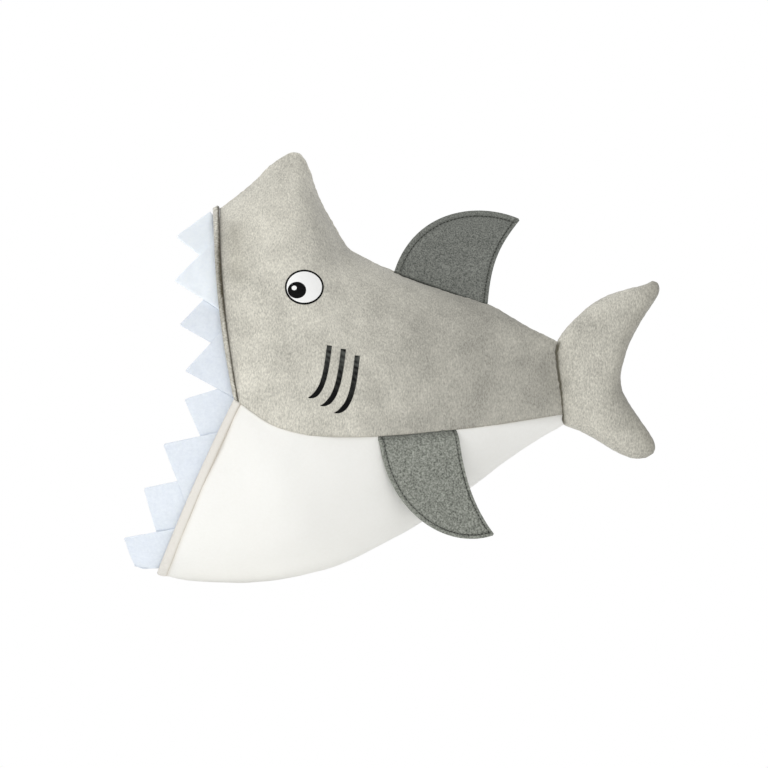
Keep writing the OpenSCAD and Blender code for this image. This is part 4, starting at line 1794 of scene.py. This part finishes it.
    def stitches(self) -> Skin:
        """Running stitches on both faces, along both free edges.

        Each stitch is a thread bent into an arch whose ends dip into the felt. Its
        sections are hexagons across its line, and all stitches are placed at once.

        Returns:
            All the stitches, as shells of one mesh.
        """
        f = np.linspace(0, 1, 600)
        spots, lines = [], []
        for which, inset in zip((self.leading, self.trailing), self.stitch_inset):
            edge = cubic(self.curve(which), f)
            along = unit(np.gradient(edge, axis=0))
            row = edge + np.stack([along[:, 1], -along[:, 0]], axis=-1) * inset * self.rise
            length = np.concatenate([[0], np.cumsum(np.linalg.norm(np.diff(row, axis=0), axis=1))])
            keep = self.inside(row).min(axis=-1) > 0.93 * inset
            keep &= row[:, 1] * self.rise > self.stitch_start
            first, last = length[keep][0], length[keep][-1]
            centres = np.arange(first + self.stitch_pitch / 2, last, self.stitch_pitch)
            spots.append(np.stack([np.interp(centres, length, row[:, k]) for k in (0, 1)], -1))
            lines.append(np.stack([np.interp(centres, length, along[:, k]) for k in (0, 1)], -1))
        spot, line = np.concatenate(spots), unit(np.concatenate(lines))
        side = np.stack([-line[:, 1], line[:, 0]], axis=-1)
        share = np.linspace(-1, 1, 7)
        turn = np.linspace(0, 2 * math.pi, 7)[:-1]
        radius = self.thread * np.sqrt(1 - (0.93 * share) ** 2)
        arch = -self.press * share**4
        made = None
        for face in (-1, 1):
            surface = self.outer(spot, face)[0] + self.stitch_lift
            along = share * self.stitch_pitch * self.stitch_half
            across = radius[:, None] * np.cos(turn)
            up = surface[:, None, None] + arch[:, None] + radius[:, None] * np.sin(turn)
            flat = (
                spot[:, None, None]
                + line[:, None, None] * along[None, :, None, None]
                + side[:, None, None] * across[None, ..., None]
            )
            points = self.placed(flat, face * up)
            for one in points:
                shell = loft(one)
                shell = shell if shell.volume() > 0 else shell.flipped()
                made = shell if made is None else made.joined(shell)
        return made

    def build(
        self, wardrobe: Wardrobe, side: Side, outer: str, inner: str, stitching: str
    ) -> None:
        """Makes the dressed fin.

        Args:
            wardrobe: the finishes.
            side: the side it is on.
            outer: CAD node of the layer on the square axis's side.
            inner: CAD node of the other layer.
            stitching: CAD node of the stitches.
        """
        for skin, node, finish in (
            (self.layer(1), outer, self.finish),
            (self.layer(-1), inner, self.finish),
            (self.stitches(), stitching, "dark_thread"),
        ):
            piece = wardrobe.dress(skin.on(side), node, finish)
            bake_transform(piece)


# ---------------------------------------------------------------- tail fin


@dataclass(frozen=True)
class TailFin:
    """Stuffed tail fin of two velour covers, drawn from its upper tip to its lower one.

    The edges and the fullness are given at stations 0 to 13, in millimetres from the
    middle of the tail seam and as shares of the full thickness.
    """

    root: tuple[float, float] = (244 * MM, 11.25 * MM)
    lean: float = math.radians(5.664)
    front_edge: tuple = (
        (65, 76), (60.5, 73.5), (55.3, 71.6), (44.8, 69.3), (29.9, 63.9), (12.4, 52.6),
        (-6.2, 29.5), (-8, 0), (-4, -27.5), (11.2, -35.9), (25, -43.5), (38, -51.3),
        (49.5, -56), (59.7, -56),
    )
    rear_edge: tuple = (
        (69.6, 74.1), (70.6, 70.1), (69.1, 64.9), (64.5, 57.4), (58.2, 48), (51.4, 36.2),
        (45.6, 22.5), (42, 8.5), (42.4, -4), (47.6, -14.5), (55, -25.8), (62.7, -36.8),
        (67.2, -45.8), (66.5, -51.9),
    )
    fullness: tuple = (
        0.22, 0.34, 0.42, 0.62, 0.84, 0.96, 1, 1, 1, 0.95, 0.8, 0.6, 0.4, 0.25,
    )
    inset: float = 0.5 * MM
    # How far before the hinge line the covers start
    ahead: float = 5.4 * MM
    # How much of a cover's front the body hides
    hidden: float = 3.9 * MM
    thickness: float = 28 * MM
    cover: float = 1.3 * MM
    last: int = 13
    roundness: float = 0.62
    # Lengths of a cover and of its section, by which its rounded edges are graded
    length: float = 0.17
    girth: float = 0.06
    # Shares from front to rear between which the fibre lies
    fibre_span: tuple[float, float] = (0.14, 0.86)
    # Height from the hinge line's middle up to which a cover is gathered into the seam,
    # the run over which that ends, and a length along the fin
    seam_half: float = 29 * MM
    seam_end: float = 3 * MM
    bend: float = 18 * MM
    gathers: SeamPull = SeamPull(0.5 * MM, 6 * MM, 0.7 * MM, 5.5 * MM)
    edge_pull: SeamPull = SeamPull(0.0, 4 * MM, 0.35 * MM, 6.5 * MM)

    def _front(self, s: np.ndarray) -> np.ndarray:
        """Point of the front edge, kept behind the tail seam."""
        p = through(self.front_edge, s) * MM
        seam = -p[..., 1] * math.tan(self.lean) - self.ahead
        return np.stack([np.maximum(p[..., 0], seam), p[..., 1]], -1)

    def _rear(self, s: np.ndarray) -> np.ndarray:
        """Point of the rear edge."""
        return through(self.rear_edge, s) * MM

    def bulge(self, s: np.ndarray, v: np.ndarray) -> np.ndarray:
        """Half thickness of the filling: the fullness times a rounded lens from edge to edge."""
        lens = np.clip(1 - (2 * v - 1) ** 2, 0, 1) ** self.roundness
        end = np.clip(np.minimum(s, self.last - s) / 0.9, 0, 1)
        full = through(self.fullness, s) * np.sqrt(1 - (1 - end) ** 2)
        return (self.thickness / 2 - self.cover) * full * lens

    def surface(self, s: np.ndarray, v: np.ndarray, half: np.ndarray) -> np.ndarray:
        """Points of the fin at stations s, shares v from front to rear, and half widths."""
        s, v, half = np.broadcast_arrays(s, v, half)
        front, rear = self._front(s), self._rear(s)
        inward = unit(rear - front) * self.inset
        flat = np.array(self.root) + front + inward + (rear - front - 2 * inward) * v[..., None]
        return np.stack([flat[..., 0], half, flat[..., 1]], axis=-1)

    def cover_skin(self, side: Side) -> Skin:
        """One cover: the bulging face, with its border on the middle plane.

        Args:
            side: the side it is on.

        Returns:
            The closed sheet.
        """
        s = graded(self.length, 150, self.cover / 2)[:, None] * self.last
        v = ((1 - np.cos(graded(self.girth, 66, self.cover / 4) * math.pi)) / 2)[None, :]
        bulge = self.bulge(s, v)
        base = self.surface(s, v, bulge)
        normal, border = grid_normal(base), Borders(base)
        normal = normal * np.sign(normal[..., 1:2].mean())
        near = border.nearest()
        full = 1 - np.exp(-near / (2.5 * MM))
        seed = 301 if side is Side.LEFT else 302
        front = self.surface(s, v * 0, bulge * 0)
        past = np.abs(front[..., 2] - self.root[1]) - self.seam_half
        seam = np.clip(1 - past / self.seam_end, 0, 1)
        height = (
            Ripples(seed, 26 * MM, 0.55 * MM).at(base) * full
            + Ripples(seed + 2, 3.4 * MM, 0.08 * MM).at(base) * full
            + self.edge_pull.at(near, border.down) * full
            + self.gathers.at(border.first_column, front[..., 2]) * full * seam
        )
        lifted = base + normal * height[..., None]
        rise = SEAM_GAP + self.cover / 2 * full
        middle = lifted + np.array([0, 1, 0]) * rise[..., None]
        half = rounded(np.full(near.shape, self.cover), near, self.cover)
        # Painted shade: a shadow in the seam's crease, the rear side darkened as it turns from the
        # light, and a darker rim along every edge
        shown = np.maximum(border.first_column - self.hidden, 0)
        crease = (0.65 * bell(shown, 1.4 * MM) + 0.45 * np.exp(-shown / (4 * MM))) * seam
        turned = 0.35 * bell(border.last_column, 13 * MM)
        shade = np.clip(crease + turned + 0.2 * np.exp(-near / MM), 0, 1)
        made = leaf(middle, normal, half, shade)
        made.points[:, 1] = np.maximum(made.points[:, 1], SEAM_GAP)
        return made.on(side)

    def stuffing_skin(self) -> Skin:
        """The fibre inside, pressed in unevenly."""
        s = np.linspace(1, self.last - 1, 70)[:, None]
        v = np.linspace(*self.fibre_span, 26)[None, :]
        bulge = np.maximum(self.bulge(s, v) - 2 * LAYER_GAP, 0.3 * MM)
        middle = self.surface(s, v, bulge * 0)
        near = Borders(middle).nearest()
        lumps = np.abs(Ripples(311, 13 * MM, 0.5 * MM).at(middle))
        to_edge = np.sqrt(1 - (1 - np.clip(near / (4 * MM), 0, 1)) ** 2)
        half = np.maximum(bulge - lumps, 0.2 * MM) * to_edge
        normal = np.broadcast_to(np.array([0.0, 1.0, 0.0]), middle.shape)
        return leaf(middle, normal, half, np.zeros(near.shape))

    def build(self, wardrobe: Wardrobe) -> None:
        """Makes the dressed covers and their filling."""
        for skin, node, finish in (
            (self.cover_skin(Side.LEFT), "tail_cover_left", "tail_velour"),
            (self.cover_skin(Side.RIGHT), "tail_cover_right", "tail_velour"),
            (self.stuffing_skin(), "tail_stuffing", "fibre_filling"),
        ):
            piece = wardrobe.dress(skin, node, finish)
            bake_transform(piece)


# ---------------------------------------------------------------- the hat and its studio


@dataclass
class SharkHat:
    """The whole hat, made piece by piece."""

    wardrobe: Wardrobe
    form: ShellForm = field(default_factory=ShellForm)
    # Where the fins' bases start and end, behind the mouth
    dorsal_span: tuple[float, float] = (117 * MM, 186.5 * MM)
    pectoral_span: tuple[float, float] = (103 * MM, 163.5 * MM)
    # Half a fin's thickness and the gap under it, and how far the seam bulges past a line
    fin_radius: float = 1.55 * MM
    fin_gap: float = 0.6 * MM
    seam_bulge: float = 0.8 * MM

    def ridge_point(self, x: float) -> np.ndarray:
        """End of the dorsal fin's hinge line, just above the top line."""
        top = self.form.top(np.array(self.form.station_on(self.form.top_line, x)))
        return np.array([top[0], 0, top[1] + self.fin_radius + self.fin_gap])

    def seam_point(self, x: float) -> np.ndarray:
        """End of a pectoral fin's hinge line, just outside the right side seam."""
        u = np.array(self.form.station_on(self.form.seam_line, x))
        seam, wide = self.form.seam(u), float(self.form.half_width(u))
        wide = wide + self.fin_radius + self.fin_gap + self.seam_bulge
        return np.array([seam[0], wide, seam[1]])

    def dorsal(self) -> FeltFin:
        """The fin on the back."""
        return FeltFin(
            front=self.ridge_point(self.dorsal_span[0]),
            back=self.ridge_point(self.dorsal_span[1]),
            reach=69 * MM,
            leading=((0, 0), (-0.01, 0.69), (0.56, 1.01), (1.03, 0.97)),
            trailing=((1.03, 0.97), (0.91, 0.61), (0.9, 0.41), (1, 0)),
            body="dorsal_fin",
        )

    def pectoral(self, side: Side) -> FeltFin:
        """A fin on a flank."""
        return FeltFin(
            front=self.seam_point(self.pectoral_span[0]),
            back=self.seam_point(self.pectoral_span[1]),
            reach=82 * MM,
            leading=((0.04, 0), (0.05, -0.7), (0.76, -1.11), (1.37, -0.99)),
            trailing=((1.37, -0.99), (1.12, -0.725), (1.015, -0.375), (1.01, 0)),
            body=f"pectoral_fin_{side.word}",
            finish="lit_grey_felt",
            root_depth=0.0,
            root_shade=2.8 * MM,
            stitch_start=1.2 * MM,
            stitch_inset=(2.9 * MM, 2.6 * MM),
            tuck=1.0 * MM,
            drawn=-5.2 * MM,
            seed=4 if side is Side.LEFT else 8,
        )

    def build(self) -> None:
        """Makes every piece."""
        BellyPanel(self.form).build(self.wardrobe)
        for side in Side:
            flank = Flank(self.form, side)
            SidePanel(flank).build(self.wardrobe)
            Eye(flank).build(self.wardrobe)
            Gills(flank).build(self.wardrobe)
        HeadLining(self.form).build(self.wardrobe)
        Stuffing(self.form).build(self.wardrobe)
        MouthTrim(self.form).build(self.wardrobe)
        ToothRow(
            self.form,
            Jaw.UPPER,
            (
                (-0.015, 0.135, 0.3, 28.5 * MM),
                (0.156, 0.372, 0.527, 31.5 * MM),
                (0.4, 0.608, 0.748, 31 * MM),
                (0.643, 0.856, 1.0, 32.5 * MM),
            ),
            away=(-1.0, 0.0, 0.0),
            away_middle=(-1.0, 0.0, 0.0),
            finishes=("pale_blue_felt",) * 2 + ("shaded_blue_felt",) * 2,
        ).build(self.wardrobe)
        ToothRow(
            self.form,
            Jaw.LOWER,
            (
                (-0.097, 0.107, 0.312, 33 * MM),
                (0.194, 0.363, 0.594, 33 * MM),
                (0.449, 0.614, 0.9, 33 * MM),
                (0.744, 0.899, 1.055, 33 * MM),
            ),
            away=(-0.915, 0.0, 0.403),
            away_middle=(-1.0, 0.0, -0.06),
            finishes=("shaded_blue_felt",) * 4,
        ).build(self.wardrobe)
        self.dorsal().build(
            self.wardrobe, Side.RIGHT, "dorsal_felt_right", "dorsal_felt_left", "dorsal_stitching"
        )
        for side in Side:
            names = [f"pectoral_{side.word}_{k}" for k in ("outer_felt", "inner_felt", "stitching")]
            self.pectoral(side).build(self.wardrobe, side, *names)
        TailFin().build(self.wardrobe)


@dataclass(frozen=True)
class Studio:
    """White floor, soft light and the camera."""

    view_width: float = 0.5732
    aim: tuple[float, float] = (0.109, 0.0104)
    distance: float = 2.2
    # Share of the sky's looks that it gives as light
    sky_light: float = 0.42
    floor_glow: float = 0.3
    floor_half: float = 2.0
    # Name, place, length of the sides and power in watts of each lamp
    lamps: tuple = (
        ("key", (-1.2, -1.5, 1.2), 1.1, 14.0),
        ("fill", (0.3, -2.2, 0.9), 1.6, 12.0),
        ("rim", (-0.9, 0.8, 1.2), 1.0, 10.0),
    )

    def camera(self) -> None:
        """Level camera that looks along +Y at the shark's left side."""
        data = bpy.data.cameras.new("camera")
        data.type = "ORTHO"
        data.ortho_scale = self.view_width
        camera = linked("camera", data)
        camera.location = (self.aim[0], -self.distance, self.aim[1])
        camera.rotation_euler = (math.pi / 2, 0, 0)
        bpy.context.scene.camera = camera

    def lamp(self, name: str, spot: tuple, size: float, power: float) -> None:
        """Square lamp that faces the hat.

        Args:
            name: its name.
            spot: where it stands.
            size: length of its sides.
            power: its power in watts.
        """
        data = bpy.data.lights.new(name, "AREA")
        data.size = size
        data.energy = power
        lamp = linked(name, data)
        lamp.location = spot
        back = Vector(spot) - Vector((self.aim[0], 0, 0))
        lamp.rotation_euler = back.to_track_quat("Z", "Y").to_euler()

    def sky(self) -> None:
        """White surroundings, fainter as light than they look."""
        world = bpy.data.worlds.new("white")
        world.use_nodes = True
        tree = world.node_tree
        background = tree.nodes["Background"]
        seen = place(tree, "ShaderNodeLightPath").outputs["Is Camera Ray"]
        strength = place(
            tree, "ShaderNodeMapRange", {"Value": seen, "To Min": self.sky_light, "To Max": 1.0}
        )
        fill(background, {"Color": (1.0, 1.0, 1.0, 1.0), "Strength": strength.outputs[0]})
        bpy.context.scene.world = world

    def floor(self, height: float) -> None:
        """Plain pale floor at a height."""
        mesh = bpy.data.meshes.new("floor")
        corners = [
            (x * self.floor_half, y * self.floor_half, height)
            for x, y in ((-1, -1), (1, -1), (1, 1), (-1, 1))
        ]
        mesh.from_pydata(corners, [], [(0, 1, 2, 3)])
        material = bpy.data.materials.new("floor")
        material.use_nodes = True
        looks = {
            "Base Color": (0.9, 0.9, 0.9, 1.0),
            "Roughness": 0.9,
            "Emission Color": (1.0, 1.0, 1.0, 1.0),
            "Emission Strength": self.floor_glow,
        }
        fill(material.node_tree.nodes["Principled BSDF"], looks)
        mesh.materials.append(material)
        linked("floor", mesh)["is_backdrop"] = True

    def build(self, floor_height: float) -> None:
        """Sets up the whole studio."""
        bpy.context.scene.view_settings.view_transform = "Standard"
        self.camera()
        self.sky()
        self.floor(floor_height)
        for lamp in self.lamps:
            self.lamp(*lamp)


def main() -> None:
    """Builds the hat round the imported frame."""
    logging.basicConfig(level=logging.INFO, format="%(name)s %(message)s")
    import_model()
    cad_box = [list(corner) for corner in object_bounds()]
    Studio().build(floor_height=cad_box[0][2] - 1.5 * MM)
    SharkHat(Wardrobe()).build()


if __name__ == "__main__":
    main()
